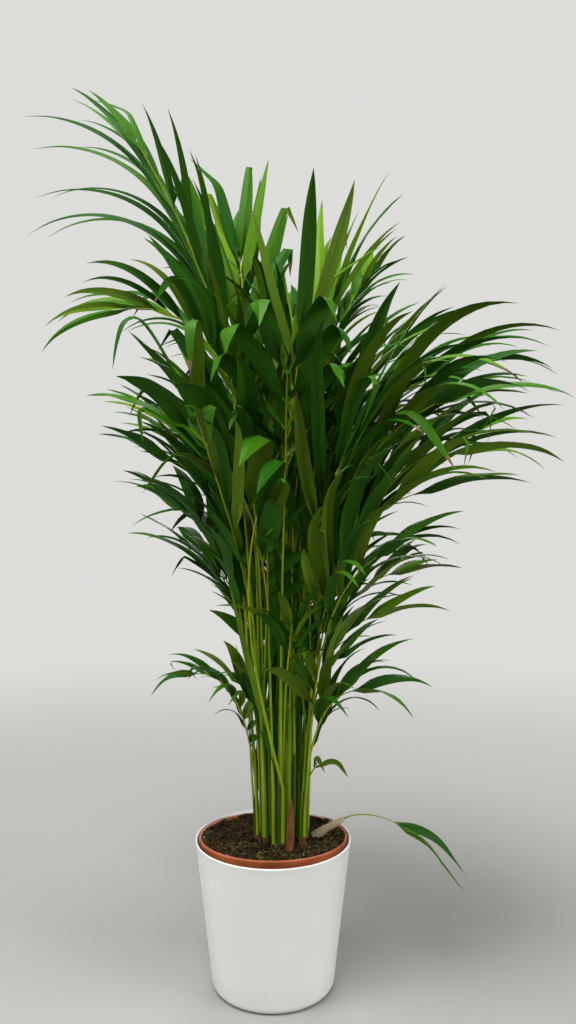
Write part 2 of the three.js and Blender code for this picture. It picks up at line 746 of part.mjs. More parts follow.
// Points all over a leaflet's roof, closer together than the cells are wide.
function leafletSamples(leaflet) {
  const samples = [];
  const stations = [0, ...skinRings(leaflet.frond), LEAFLET_STEPS].map((i) => leaflet.places[i]);
  for (let i = 0; i + 1 < stations.length; i += 1) {
    const [from, to] = [stations[i], stations[i + 1]];
    const [a, b] = [leafletSection(leaflet, from), leafletSection(leaflet, to)];
    const rows = Math.ceil(((to.s - from.s) * leaflet.length) / SAMPLE_STEP);
    const columns = Math.ceil(Math.max(from.half, to.half) / SAMPLE_STEP);
    for (let row = 0; row <= rows; row += 1) {
      const ridge = a.ridge.clone().lerp(b.ridge, row / rows);
      const edges = [a.near.clone().lerp(b.near, row / rows), a.far.clone().lerp(b.far, row / rows)];
      const reach = mix(from.s, to.s, row / rows);
      samples.push({ point: ridge, reach });
      for (const edge of edges) {
        for (let column = 1; column <= columns; column += 1) {
          samples.push({ point: ridge.clone().lerp(edge, column / columns), reach });
        }
      }
    }
  }
  return samples;
}

// Canes and midribs take their space first.
const NO_FROND = -1;
for (const { balls, frond } of placedLines) midribSpace.claim(balls, frond?.index ?? NO_FROND);

function inPot(point) {
  const [aside, above] = POT_CLEARANCE;
  const near = Math.hypot(point.x, point.y) < POT_RIM_RADIUS + aside;
  return near && point.z < POT_HEIGHT + above;
}

// A leaflet is kept in the first way of lying that clears the pot and everything placed before, or
// is left out. Near its root it may touch its own frond.
const ROOT_SHARE = 0.2;
function placeLeaflet(frond, pair, side, slim) {
  for (const tweak of TWEAKS) {
    const leaflet = leafletLine(frond, pair, side, tweak, slim);
    const samples = leafletSamples(leaflet);
    const clear = samples.every(({ point, reach }) => {
      const allowed = (owner) => owner === frond.index && reach < ROOT_SHARE;
      return (
        !inPot(point) &&
        !midribSpace.clashes(point, allowed) &&
        !leafletSpace.clashes(point, allowed)
      );
    });
    if (clear) {
      leafletSpace.claim(
        samples.map(({ point }) => point),
        frond.index,
      );
      return leaflet;
    }
  }
  return null;
}

// The leaflets at the tips of the fronds show the most, and so are placed first. Those left out are
// tried again, narrower.
const NARROWINGS = [1, 0.66];
const nameOf = (pair, side) => `${pair} ${side}`;
const mostPairs = Math.max(...fronds.map((frond) => frond.pairs));
for (const frond of fronds) frond.leaflets = new Map();
for (const slim of NARROWINGS) {
  for (let rank = 0; rank < mostPairs; rank += 1) {
    for (const frond of fronds) {
      const pair = frond.pairs - 1 - rank;
      for (const side of [LEFT, RIGHT]) {
        const name = nameOf(pair, side);
        if (pair < 0 || frond.leaflets.get(name)) continue;
        frond.leaflets.set(name, placeLeaflet(frond, pair, side, slim));
      }
    }
  }
}

// The corners of the midrib's square section, anticlockwise from the upper right.
const CORNERS = [
  [1, 1],
  [-1, 1],
  [-1, -1],
  [1, -1],
];
const LEFT_WALL = 1;
const RIGHT_WALL = 3;

function frondSkin(frond) {
  const skin = new Skin();
  const midribRing = (share) => {
    const rib = midribAt(frond, share);
    const half = rib.radius * Math.SQRT1_2;
    return skin.ring(
      CORNERS.map(([across, over]) =>
        rib.at
          .clone()
          .addScaledVector(rib.across, across * half)
          .addScaledVector(rib.over, over * half),
      ),
    );
  };
  const growLeaflet = (root, leaflet, order) => {
    let last = root;
    for (const station of skinRings(frond)) {
      const section = leafletSection(leaflet, leaflet.places[station]);
      const next = skin.ring(order.map((corner) => section[corner]));
      skin.bladeBand(last, next);
      last = next;
    }
    skin.point(last, leaflet.places[LEAFLET_STEPS].at);
  };
  const rings = frond.shares.map(midribRing);
  for (const corner of rings[0]) {
    const point = skin.points[corner];
    const above = point.clone().sub(frond.foot).dot(frond.cane.axis);
    point.addScaledVector(frond.cane.axis, -above);
  }
  skin.startCap(rings[0]);
  for (let i = 0; i + 1 < rings.length; i += 1) {
    const [near, far] = [rings[i], rings[i + 1]];
    const pair = (i - PETIOLE_STEPS) / 2;
    CORNERS.forEach((_, wall) => {
      const right = wall === RIGHT_WALL;
      const side = right ? RIGHT : LEFT;
      const bears = right || wall === LEFT_WALL;
      const leaflet = bears ? frond.leaflets.get(nameOf(pair, side)) : null;
      if (!leaflet) {
        skin.wall(near, far, wall);
        return;
      }
      const after = (wall + 1) % CORNERS.length;
      if (right) {
        const root = [near[after], far[after], far[wall], near[wall]];
        growLeaflet(root, leaflet, ["near", "ridge", "far", "under"]);
      } else {
        const root = [near[wall], near[after], far[after], far[wall]];
        growLeaflet(root, leaflet, ["near", "under", "far", "ridge"]);
      }
    });
  }
  const last = rings[rings.length - 1];
  skin.point(last, midribAt(frond, 1).at);
  return skin;
}

for (const frond of fronds) {
  addPiece(`frond_${frond.name}`, frondSkin(frond).geometry(), 0x2f6b1e, 0.4);
}

export default palm;
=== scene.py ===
import math
import random

import bmesh
import bpy
import numpy as np
from mathutils import Matrix, Vector, noise


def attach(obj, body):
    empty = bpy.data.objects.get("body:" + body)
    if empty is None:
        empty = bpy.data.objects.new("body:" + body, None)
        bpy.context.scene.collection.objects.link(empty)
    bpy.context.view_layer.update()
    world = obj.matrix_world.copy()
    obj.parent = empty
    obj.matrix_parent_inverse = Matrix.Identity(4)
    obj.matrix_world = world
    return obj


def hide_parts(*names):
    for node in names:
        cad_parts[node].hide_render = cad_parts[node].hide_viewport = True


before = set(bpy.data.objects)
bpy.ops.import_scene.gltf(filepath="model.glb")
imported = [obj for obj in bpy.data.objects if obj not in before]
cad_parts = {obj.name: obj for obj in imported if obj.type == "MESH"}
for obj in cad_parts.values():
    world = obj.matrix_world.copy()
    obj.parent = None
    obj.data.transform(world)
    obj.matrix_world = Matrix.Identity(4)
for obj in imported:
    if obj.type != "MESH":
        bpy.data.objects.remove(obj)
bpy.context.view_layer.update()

# OUTER POT
# A plain white pot of injection-moulded polypropylene, tapered and thin-walled, with a soft foot
# edge and a rolled rim. It is one turned shell; its underside is recessed inside a foot ring.
MM = 0.001
POT_HEIGHT = 205
POT_RIM_RADIUS = 109
POT_FOOT_RADIUS = 85
POT_WALL = 2.4
POT_FLOOR = 4
POT_FOOT_RECESS = 1.4
POT_FOOT_ROUNDING = 9
POT_FOOT_BENDS = 6
AROUND = 128


def pot_radius(height):
    return POT_FOOT_RADIUS + (POT_RIM_RADIUS - POT_FOOT_RADIUS) * height / POT_HEIGHT


def turned(profile, around=AROUND):
    """A bmesh spun about Z from [radius, height] points in millimetres."""
    bm = bmesh.new()
    corners = [bm.verts.new((radius * MM, 0, height * MM)) for radius, height in profile]
    for a, b in zip(corners, corners[1:]):
        bm.edges.new((a, b))
    bmesh.ops.spin(
        bm, geom=bm.verts[:] + bm.edges[:], axis=(0, 0, 1), cent=(0, 0, 0),
        angle=2 * math.pi, steps=around, use_merge=True, use_duplicate=False,
    )
    bmesh.ops.remove_doubles(bm, verts=bm.verts, dist=1e-6)
    bmesh.ops.recalc_face_normals(bm, faces=bm.faces)
    return bm


def set_in_place(mesh, name, finishes, slot, *nodes):
    """Makes a mesh a piece of the plant: its finishes and what it stands for. The slot is not used.
    """
    piece = bpy.data.objects.new(name, mesh)
    bpy.context.collection.objects.link(piece)
    for finish in finishes:
        mesh.materials.append(finish)
    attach(piece, "root")
    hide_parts(*nodes)


def shell(bm, name, finish, node, crease=50):
    """Makes a turned shape the piece that stands for one solid."""
    mesh = bpy.data.meshes.new(name)
    bm.to_mesh(mesh)
    bm.free()
    mesh.shade_smooth()
    mesh.set_sharp_from_angle(angle=math.radians(crease))
    set_in_place(mesh, name, [finish], node, node)


def plug(node, *by_place, **by_name):
    """Sets a node's sockets, by place or by name, to values or to other nodes' outputs."""
    sockets = dict(enumerate(by_place))
    sockets.update((name.replace("_", " "), value) for name, value in by_name.items())
    for socket, value in sockets.items():
        if isinstance(value, bpy.types.NodeSocket):
            node.id_data.links.new(value, node.inputs[socket])
        else:
            node.inputs[socket].default_value = value
    return node


def add_node(tree, kind, *by_place, **by_name):
    return plug(tree.nodes.new("ShaderNode" + kind), *by_place, **by_name)


def new_finish(name, roughness, **sockets):
    """A new material. Its even values sit on the shader's own sockets."""
    finish = bpy.data.materials.new(name)
    finish.use_nodes = True
    plug(finish.node_tree.nodes["Principled BSDF"], Roughness=roughness, **sockets)
    return finish


def speckle(finish, scale, detail, stretch=(1, 1, 1), uv=None):
    """A noise over the piece, or along its own UV map, as a factor from 0 to 1."""
    tree = finish.node_tree
    if uv:
        place = add_node(tree, "UVMap")
        place.uv_map = uv
        source = place.outputs["UV"]
    else:
        source = add_node(tree, "TexCoord").outputs["Object"]
    place = add_node(tree, "Mapping", Vector=source, Scale=stretch).outputs["Vector"]
    return add_node(tree, "TexNoise", Vector=place, Scale=scale, Detail=detail).outputs["Fac"]


def tint(finish, factor, stops):
    """Colours the finish by a factor, through (position, linear colour) stops."""
    tree = finish.node_tree
    ramp = add_node(tree, "ValToRGB", Fac=factor)
    for i, (position, colour) in enumerate(stops):
        stop = ramp.color_ramp.elements[i] if i < 2 else ramp.color_ramp.elements.new(position)
        stop.position = position
        stop.color = (*colour, 1)
    plug(tree.nodes["Principled BSDF"], Base_Color=ramp.outputs["Color"])


def emboss(finish, factor, depth, strength):
    """Relief too fine for the mesh: depth is in millimetres."""
    tree = finish.node_tree
    bump = add_node(tree, "Bump", Height=factor, Strength=strength, Distance=depth * MM)
    plug(tree.nodes["Principled BSDF"], Normal=bump.outputs["Normal"])


def mottled(name, roughness, grain, stops, relief=None, **sockets):
    """A new material in the colours of one noise, embossed by a finer one."""
    finish = new_finish(name, roughness, **sockets)
    tint(finish, speckle(finish, *grain), stops)
    if relief:
        fine_grain, depth, strength = relief
        emboss(finish, speckle(finish, *fine_grain), depth, strength)
    return finish


pot_profile = [(0, POT_FOOT_RECESS), (72, POT_FOOT_RECESS), (73.5, 0), (77, 0)]
for step in range(1, POT_FOOT_BENDS + 1):
    turn = step / POT_FOOT_BENDS * math.pi / 2
    rise = POT_FOOT_ROUNDING * (1 - math.cos(turn))
    pot_profile.append((pot_radius(rise) - POT_FOOT_ROUNDING * (1 - math.sin(turn)), rise))
for height in (40, 90, 140, 180, POT_HEIGHT - 9):
    pot_profile.append((pot_radius(height) - 0.25, height))
# the rolled rim: how far in from the lip and how far below its top
for inward, below in [
    (0.25, 3.2), (0, 2.2), (0, 1.2), (0.3, 0.3), (1.0, 0), (1.8, 0.1), (POT_WALL, 1.0),
]:
    pot_profile.append((POT_RIM_RADIUS - inward, POT_HEIGHT - below))
for height in (140, 60):
    pot_profile.append((pot_radius(height) - POT_WALL, height))
pot_profile += [(pot_radius(POT_FLOOR) - POT_WALL - 3, POT_FLOOR), (0, POT_FLOOR)]
pot_white = mottled(
    "pot_white", 0.36, (9, 4), [(0.3, (0.72, 0.735, 0.71)), (0.7, (0.76, 0.775, 0.75))],
    ((700, 2), 0.03, 0.35), IOR=1.48, Coat_Weight=0.12, Coat_Roughness=0.3,
)
shell(turned(pot_profile), "outer_pot_shell", pot_white, "outer_pot")

# GROWING POT
# The thin terracotta-coloured nursery pot that the palm was grown in. It stands in the outer pot,
# leaning a little, so that its banded lip shows inside the white rim.
SEAT = 0.3
LINER_HEIGHT = 200
LINER_RIM_RADIUS = 102.5
LINER_LIP = 5
LINER_LIP_HEIGHT = 12
LINER_FOOT_RADIUS = 68
LINER_WALL = 2
LINER_LEAN = math.radians(-3.2)
SOIL_BELOW_LIP = 4
liner_frame = Matrix.Translation((
    0,
    LINER_HEIGHT * math.sin(LINER_LEAN) * MM,
    (POT_FLOOR + SEAT - LINER_FOOT_RADIUS * math.sin(LINER_LEAN)) * MM,
)) @ Matrix.Rotation(LINER_LEAN, 4, "X")


def liner_radius(height):
    wide = LINER_RIM_RADIUS - LINER_LIP
    return LINER_FOOT_RADIUS + (wide - LINER_FOOT_RADIUS) * height / LINER_HEIGHT


lip_foot = LINER_HEIGHT - LINER_LIP_HEIGHT
liner = turned([
    (0, 0),
    (LINER_FOOT_RADIUS - 1.5, 0),
    (LINER_FOOT_RADIUS, 1.2),
    (liner_radius(90), 90),
    (liner_radius(lip_foot), lip_foot),
    (LINER_RIM_RADIUS - 0.2, lip_foot + 0.6),
    (LINER_RIM_RADIUS + 0.4, lip_foot + 1.6),
    (LINER_RIM_RADIUS + 0.4, LINER_HEIGHT - 3.2),
    (LINER_RIM_RADIUS + 1.0, LINER_HEIGHT - 2.6),
    (LINER_RIM_RADIUS + 1.0, LINER_HEIGHT - 0.8),
    (LINER_RIM_RADIUS + 0.2, LINER_HEIGHT),
    (LINER_RIM_RADIUS - 1.0, LINER_HEIGHT - 0.2),
    (LINER_RIM_RADIUS - 2.4, LINER_HEIGHT - 2.4),
    (liner_radius(LINER_HEIGHT - 5) - LINER_WALL, LINER_HEIGHT - 5),
    (liner_radius(90) - LINER_WALL, 90),
    (LINER_FOOT_RADIUS - LINER_WALL, LINER_WALL),
    (0, LINER_WALL),
])
liner.transform(liner_frame)
terracotta = mottled(
    "terracotta_plastic", 0.5, (26, 5),
    [(0.28, (0.24, 0.050, 0.014)), (0.55, (0.44, 0.105, 0.030)), (0.8, (0.52, 0.155, 0.055))],
    ((420, 4), 0.12, 0.6), IOR=1.46,
)
shell(liner, "growing_pot_shell", terracotta, "growing_pot")

# SOIL
# Damp peat-based potting mix with a crumbly, uneven top, heaped a little round the stems. Crumbs,
# bark bits, pale grit, root fibres and a thin moss lie on it, each kind joined into one mesh.
SOIL_LEVEL = LINER_HEIGHT - SOIL_BELOW_LIP
SOIL_RADIUS = liner_radius(SOIL_LEVEL) - LINER_WALL - 2 * SEAT
HEAPED_RADIUS = LINER_RIM_RADIUS - 3
SOIL_RINGS = 60
HEAP_RADIUS = 60
BANK_START = 66
soil_middle = liner_frame @ Vector((0, 0, SOIL_LEVEL * MM)) / MM
soil_normal = liner_frame.to_3x3() @ Vector((0, 0, 1))


def smooth(value, low, high):
    share = np.clip((value - low) / (high - low), 0, 1)
    return share * share * (3 - 2 * share)


def soil_height(x, y):
    """The height of the soil's leaning top under a point, in millimetres."""
    slope = (x - soil_middle.x) * soil_normal.x + (y - soil_middle.y) * soil_normal.y
    return soil_middle.z - slope / soil_normal.z


def soil_relief(x, y):
    """How far the crumbly top stands above its even level, in millimetres."""
    coarse = noise.fractal(Vector((x, y, 0)) * 0.035, 1.0, 2.0, 3) * 2.6
    fine = noise.fractal(Vector((x, y, 7)) * 0.17, 0.9, 2.1, 3) * 1.3
    heap = 2.2 * math.exp(-((x * x + y * y) / HEAP_RADIUS**2) ** 2)
    bank = 3.6 * smooth(math.hypot(x, y), BANK_START, SOIL_RADIUS + 2)
    return coarse + fine + heap + bank - 1.2


foot = LINER_WALL + SEAT
soil_profile = [(0, foot), (liner_radius(foot) - foot - SEAT, foot)]
soil_profile += [(SOIL_RADIUS - 1.5, SOIL_LEVEL - 9), (SOIL_RADIUS - 0.6, SOIL_LEVEL - 4)]
for i in range(SOIL_RINGS + 1):
    soil_profile.append((HEAPED_RADIUS * (1 - i / SOIL_RINGS), SOIL_LEVEL))
soil = turned(soil_profile, 144)
for corner in soil.verts:
    if corner.co.z > (SOIL_LEVEL - 1) * MM:
        corner.co.z += soil_relief(corner.co.x / MM, corner.co.y / MM) * MM
soil.transform(liner_frame)
peat = mottled(
    "peat", 0.95, (240, 6),
    [(0.34, (0.005, 0.003, 0.001)), (0.52, (0.020, 0.012, 0.005)), (0.68, (0.060, 0.042, 0.014))],
    ((520, 6), 1.2, 1.0), Specular_IOR_Level=0.1,
)
shell(soil, "soil_body", peat, "soil", 180)


def mesh_of_many(name, points, faces, crease=60, finish_of=None, uvs=None):
    """One mesh from many copies: points in millimetres, faces as rows of corners."""
    mesh = bpy.data.meshes.new(name)
    mesh.from_pydata((np.concatenate(points) * MM).tolist(), [], faces)
    if finish_of is not None:
        mesh.polygons.foreach_set("material_index", finish_of)
    if uvs is not None:
        layer = mesh.uv_layers.new(name="blade")
        corner = np.empty(len(mesh.loops), dtype=np.int32)
        mesh.loops.foreach_get("vertex_index", corner)
        layer.data.foreach_set("uv", np.concatenate(uvs)[corner].ravel())
    mesh.shade_smooth()
    mesh.set_sharp_from_angle(angle=math.radians(crease))
    return mesh


def cut_across(bm, place, normal):
    geom = bm.verts[:] + bm.edges[:] + bm.faces[:]
    bmesh.ops.bisect_plane(bm, geom=geom, plane_co=place, plane_no=normal, dist=1e-7)


def template(bm):
    """A small shape's corners as an array and its faces as rows, ready to be copied."""
    bm.verts.index_update()
    corners = np.array([v.co for v in bm.verts])
    rows = [[v.index for v in face.verts] for face in bm.faces]
    bm.free()
    return corners, rows


def scatter(name, count, shape, size, stretch, beyond, sink, seed, finish, patchy=0.0):
    """Copies of a shape strewn over the soil to its edge or beyond it, each turned by chance."""
    corners, rows = shape
    dice = random.Random(seed)
    points, faces = [], []
    while len(points) < count:
        radius = (HEAPED_RADIUS + beyond) * math.sqrt(dice.random())
        turn = dice.random() * 2 * math.pi
        x, y = radius * math.cos(turn), radius * math.sin(turn)
        cover = noise.noise(Vector((x, y, 3.0 * seed)) * 0.045)
        if patchy and cover < patchy * dice.random():
            continue
        big = dice.uniform(*size) * (1 + dice.random() ** 4)
        form = Matrix.Rotation(dice.uniform(0, 6.3), 3, "Z")
        form @= Matrix.Rotation(dice.uniform(-0.6, 0.6), 3, "X")
        form @= Matrix.Diagonal([big * s * dice.uniform(0.75, 1.25) for s in stretch])
        ragged = 1 + 0.22 * np.array([[dice.uniform(-1, 1)] for _ in corners])
        at = Vector((x, y, SOIL_LEVEL + soil_relief(x, y) + big * sink))
        at = liner_frame @ (at * MM) / MM
        faces += [[i + len(points) * len(corners) for i in row] for row in rows]
        points.append((corners * ragged) @ np.array(form).T + np.array(at))
    set_in_place(mesh_of_many(name, points, faces), name, [finish], "soil", "soil")


crumb = bmesh.new()
bmesh.ops.create_icosphere(crumb, subdivisions=1, radius=1)
crumb = template(crumb)
chip = bmesh.new()
bmesh.ops.create_cube(chip, size=2)
bmesh.ops.bevel(
    chip, geom=chip.edges[:], offset=0.35, segments=1, profile=0.5, affect="EDGES", material=-1
)
chip = template(chip)
fibre = bmesh.new()
bmesh.ops.create_cone(
    fibre, cap_ends=True, segments=3, radius1=0.06, radius2=0.03, depth=2,
    matrix=Matrix.Rotation(math.pi / 2, 4, "Y"),
)
for cut in (-0.6, -0.2, 0.2, 0.6):
    cut_across(fibre, (cut, 0, 0), (1, 0, 0))
for corner in fibre.verts:
    corner.co.y += 0.3 * corner.co.x**2
    corner.co.z += 0.12 * math.sin(3 * corner.co.x)
fibre = template(fibre)

bark_brown = mottled(
    "bark_brown", 0.9, (300, 4), [(0.3, (0.012, 0.006, 0.004)), (0.7, (0.075, 0.034, 0.016))],
    Specular_IOR_Level=0.1,
)
grit_pale = mottled(
    "grit_pale", 0.85, (150, 2), [(0.3, (0.20, 0.165, 0.11)), (0.7, (0.44, 0.40, 0.31))],
)
moss_green = mottled(
    "moss_green", 0.95, (260, 4),
    [(0.3, (0.020, 0.022, 0.004)), (0.5, (0.070, 0.068, 0.012)), (0.72, (0.160, 0.130, 0.026))],
    Specular_IOR_Level=0.1,
)
scatter("soil_crumbs", 1500, crumb, (0.8, 2.3), (1, 0.85, 0.7), 0, 0.2, 11, peat)
scatter("soil_bark", 110, chip, (1.0, 2.4), (1.7, 0.6, 0.3), 0, 0.15, 12, bark_brown)
scatter("soil_grit", 90, crumb, (0.4, 0.9), (1, 0.8, 0.7), 0, 0.6, 13, grit_pale)
scatter("soil_moss", 2300, crumb, (0.45, 1.2), (1, 1, 0.6), 2, 0.4, 14, moss_green, 0.18)
scatter("soil_fibres", 150, fibre, (3.5, 9.0), (1, 1, 1), -4, 0.08, 15, bark_brown)

# STEMS
# Thirteen canes stand in a clump, each a bundle of three slim leaf sheaths wrapped round each
# other. A sheath is waxy yellow-green, stained brown at the soil, and narrows into its petiole.
CANE_COUNT = 13
CLUMP_RADIUS = 44
CLUMP_MIDDLE = np.array((13.0, 2.0))
CANE_FOOT_RADIUS = 5.6
CANE_TOP_RADIUS = 5
CANE_LEAN = 0.045
CANE_SHORTEST = 30
CANE_LONGEST = 175
CANE_SHARE = 0.24
CANE_SPREAD = 25
FRONDS_ON_A_CANE = 3
PETIOLE_RING = 3
GOLDEN_ANGLE = math.pi * (3 - math.sqrt(5))
UP = np.array((0.0, 0.0, 1.0))


def chance(a, b):
    """A repeatable number from 0 to 1 for each pair of counters, as the solids use it."""
    wave = math.sin(a * 12.9898 + b * 78.233) * 43758.5453
    return wave - math.floor(wave)


def jitter(a, b):
    return 2 * chance(a, b) - 1


def unit(v):
    return v / np.linalg.norm(v, axis=-1, keepdims=True)


def compass(turn):
    return np.array((math.cos(turn), math.sin(turn), 0))


def clamp(value, low, high):
    return max(low, min(high, value))


def mix(a, b, share):
    return a + (b - a) * share


class Cane:
    """A bundle of leaf sheaths: where it stands, which way it leans and what fronds it bears."""

    def __init__(self, k, turn, radius):
        away = compass(turn)
        self.k = k
        self.foot = away * radius
        self.foot[:2] += CLUMP_MIDDLE
        self.foot[2] = soil_height(*self.foot[:2]) + SEAT
        self.axis = unit(UP + away * CANE_LEAN * radius / CLUMP_RADIUS)
        self.fronds = []


class Frond:
    """One leaf of the palm: where its tip is, how it ends, and the leaflets it bears."""

    def __init__(self, index, name, x, y, z, arch, pairs, leaf, width, droop, open_, crest, right):
        self.index, self.name, self.part = index, name, name.split("_")[0]
        self.tip = np.array((x, y, z), float)
        self.arch, self.droop, self.open = map(math.radians, (arch, droop, open_))
        self.pairs, self.leaf, self.width = pairs, leaf, width
        self.crest, self.right = crest, right
        self.leaflets = {}

    def stand(self, foot):
        """Sets the petiole's foot, and with it the way that the frond heads."""
        self.foot = foot
        self.away = unit((self.tip - foot) * (1, 1, 0))

    def slant(self):
        return math.hypot(*self.tip[:2]) / (self.tip[2] - POT_HEIGHT)


# name, tip of the midrib (x, y, z), its slope there, pairs of leaflets, the longest one's length
# and width, droop, opening, the length left at the tip, and right-hand length for left-hand
frond_plan = [
    ("top_right", 40, -90, 887, 66, 3, 215, 30, 6, 20, 0.95, 1),
    ("upper_left", -180, -60, 1152, 56, 11, 430, 16, 88, 34, 0.24, 0.5),
    ("top_left", -80, 50, 1010, 72, 9, 235, 25, 42, 28, 0.75, 1),
    ("top_middle", -50, 60, 1035, 82, 7, 220, 17, 18, 18, 0.8, 1),
    ("upper_right", 84, 20, 965, 66, 7, 225, 20, 28, 25, 0.85, 1),
    ("high_right", 140, 60, 1010, 55, 8, 150, 18, 65, 48, 0.5, 1),
    ("front_fan", 20, -150, 842, 76, 4, 215, 38, 80, 40, 0.8, 0.95),
    ("left_arch", -188, -100, 922, -10, 8, 190, 14, 70, 50, 0.65, 0.9),
    ("left_high", -122, 40, 835, 42, 8, 190, 22, 45, 38, 0.6, 1),
    ("left_fan", -110, -120, 775, 36, 9, 215, 30, 70, 40, 0.6, 1),
    ("left_middle", -140, -20, 735, 30, 9, 190, 23, 45, 38, 0.6, 1),
    ("left_low", -138, 40, 670, 30, 6, 170, 22, 60, 38, 0.6, 1),
    ("left_spread", -86, 80, 575, 48, 4, 130, 20, 60, 34, 0.7, 1),
    ("left_foot", -48, -20, 430, 55, 4, 120, 18, 70, 40, 0.7, 1),
    ("left_sprig", -110, -40, 442, -5, 5, 100, 13, 90, 46, 0.7, 1),
    ("right_high", 160, 50, 880, 46, 9, 230, 25, 50, 36, 0.6, 1),
    ("right_arch", 245, -50, 856, 14, 10, 260, 24, 90, 38, 0.55, 1),
    ("right_fan", 210, -140, 800, 18, 10, 260, 26, 90, 40, 0.6, 1),
    ("right_long", 262, 20, 745, 10, 10, 270, 22, 75, 36, 0.6, 1),
    ("right_middle", 195, -70, 688, 14, 9, 240, 24, 65, 38, 0.6, 1),
    ("right_low", 140, -110, 610, 28, 8, 190, 24, 80, 40, 0.6, 1),
    ("right_spread", 178, 70, 570, 14, 6, 175, 20, 60, 38, 0.6, 1),
    ("right_drape", 140, 0, 515, 20, 6, 165, 22, 55, 36, 0.7, 1),
    ("right_blade", 96, 40, 452, 34, 5, 145, 21, 60, 36, 0.7, 1),
    ("right_foot", 115, -60, 425, 10, 6, 150, 20, 85, 38, 0.7, 1),
    ("right_sprig", 64, 8, 304, 12, 1, 58, 13, 125, 80, 1, 1),
    ("front_left", -95, -130, 790, 62, 6, 265, 24, 45, 25, 0.8, 1),
    ("front_right", 100, -125, 765, 62, 6, 265, 24, 45, 25, 0.8, 1),
    ("front_low", 26, -80, 520, 70, 3, 95, 16, 55, 46, 0.8, 1),
]
# the back fills in three storeys: fronds, reach, height, slope, pairs, leaflet length and width
for level, (count, reach, height, arch, pairs, leaf, width) in enumerate([
    (3, 120, 960, 62, 8, 220, 25),
    (4, 200, 810, 35, 9, 225, 26),
    (3, 185, 610, 25, 7, 185, 24),
]):
    for i in range(count):
        azimuth = math.radians(28 + 124 * (i + 0.5) / count)
        out = reach * (1 + 0.12 * jitter(level, i))
        frond_plan.append((
            f"back_{level + 1}_{i + 1}", out * math.cos(azimuth), out * math.sin(azimuth),
            height + 45 * jitter(i, level + 7), arch, pairs, leaf, width, 55, 38, 0.6, 1,
        ))
fronds = [Frond(index, *row) for index, row in enumerate(frond_plan)]
canes = []
for k in range(CANE_COUNT):
    radius = CLUMP_RADIUS * math.sqrt((k + 0.5) / CANE_COUNT) - CANE_FOOT_RADIUS / 2
    canes.append(Cane(k, k * GOLDEN_ANGLE + 0.4, radius))

# the fronds that reach out furthest for their height take the outer canes
steepest = max(frond.slant() for frond in fronds)
for frond in sorted(fronds, key=lambda f: -f.slant()):
    share = math.sqrt(frond.slant() / steepest)
    wanted = CLUMP_MIDDLE + unit(frond.tip[:2]) * CLUMP_RADIUS * share
    free = [cane for cane in canes if len(cane.fronds) < FRONDS_ON_A_CANE]
    frond.cane = min(free, key=lambda cane: math.hypot(*(cane.foot[:2] - wanted)))
    frond.cane.fronds.append(frond)

for cane in canes:
    lowest = min(frond.tip[2] - cane.foot[2] for frond in cane.fronds)
    wanted = lowest * CANE_SHARE + CANE_SPREAD * jitter(cane.k, 3)
    cane.length = clamp(wanted, CANE_SHORTEST, CANE_LONGEST)
    cane.top = cane.foot + cane.axis * cane.length

    def heading(frond, top=cane.top):
        return math.atan2(frond.tip[1] - top[1], frond.tip[0] - top[0])

    cane.fronds.sort(key=heading)
    first = heading(cane.fronds[0])
    for i, frond in enumerate(cane.fronds):
        ring = compass(first + i / FRONDS_ON_A_CANE * 2 * math.pi) * PETIOLE_RING
        frond.stand(cane.top + ring + cane.axis * SEAT)


class Line:
    """A Bezier curve read by the share of its length."""

    def __init__(self, *pulls):
        self.pulls = [np.asarray(pull, float) for pull in pulls]
        self.steps = np.linspace(0, 1, 201)
        hops = np.diff(self.raw(self.steps), axis=0)
        self.run = np.concatenate([[0], np.cumsum(np.linalg.norm(hops, axis=1))])
        self.length = self.run[-1]

    def raw(self, t):
        t = np.asarray(t, float)[..., None]
        last = len(self.pulls) - 1
        return sum(
            math.comb(last, i) * (1 - t) ** (last - i) * t**i * pull
            for i, pull in enumerate(self.pulls)
        )

    def step(self, share):
        return np.interp(np.asarray(share) * self.length, self.run, self.steps)

    def point(self, share):
        return self.raw(self.step(share))

    def along(self, share):
        t = self.step(share)
        return unit(self.raw(np.minimum(t + 1e-4, 1)) - self.raw(np.maximum(t - 1e-4, 0)))


# a midrib is bowed to one side by so much that it clears the canes and the midribs before it
PETIOLE_RADIUS = 2.2
MIDRIB_TIP_RADIUS = 1.3
PETIOLE_STEPS = 6
LEAFLET_ROOT = 9
LEAFLET_PITCH = 34
LONG_LEAFLET_PITCH = 0.11
BLADE_SHARE = 0.72
START_LEAN = 0.05
START_PULL = 0.5
END_PULL = 0.3
LINE_CLEARANCE = 0.4
SAME_HEIGHT = 10
FAR_OFF = 20
BOWS = (0, 0.015, -0.015, 0.03, -0.03, 0.05, -0.05, 0.07, -0.07, 0.1, -0.1, 0.13, -0.13)
SAMPLE_STEP = 2.6


def pair_share(frond, pair):
    """Where a pair sits on the midrib, as a share of its length; pair 0 is the lowest."""
    return 1 - ((frond.pairs - 1 - pair) * frond.pitch + LEAFLET_ROOT) / frond.line.length


def balls_along(points, start, end):
    """A broken line as rows of x, y, z and radius."""
    rows = []
    for i, (a, b) in enumerate(zip(points, points[1:])):
        steps = math.ceil(np.linalg.norm(b - a) / SAMPLE_STEP)
        share = np.arange(steps + 1)[:, None] / steps
        radius = start + (end - start) * (i + share) / (len(points) - 1)
        rows.append(np.hstack([a + (b - a) * share, radius]))
    return np.vstack(rows)


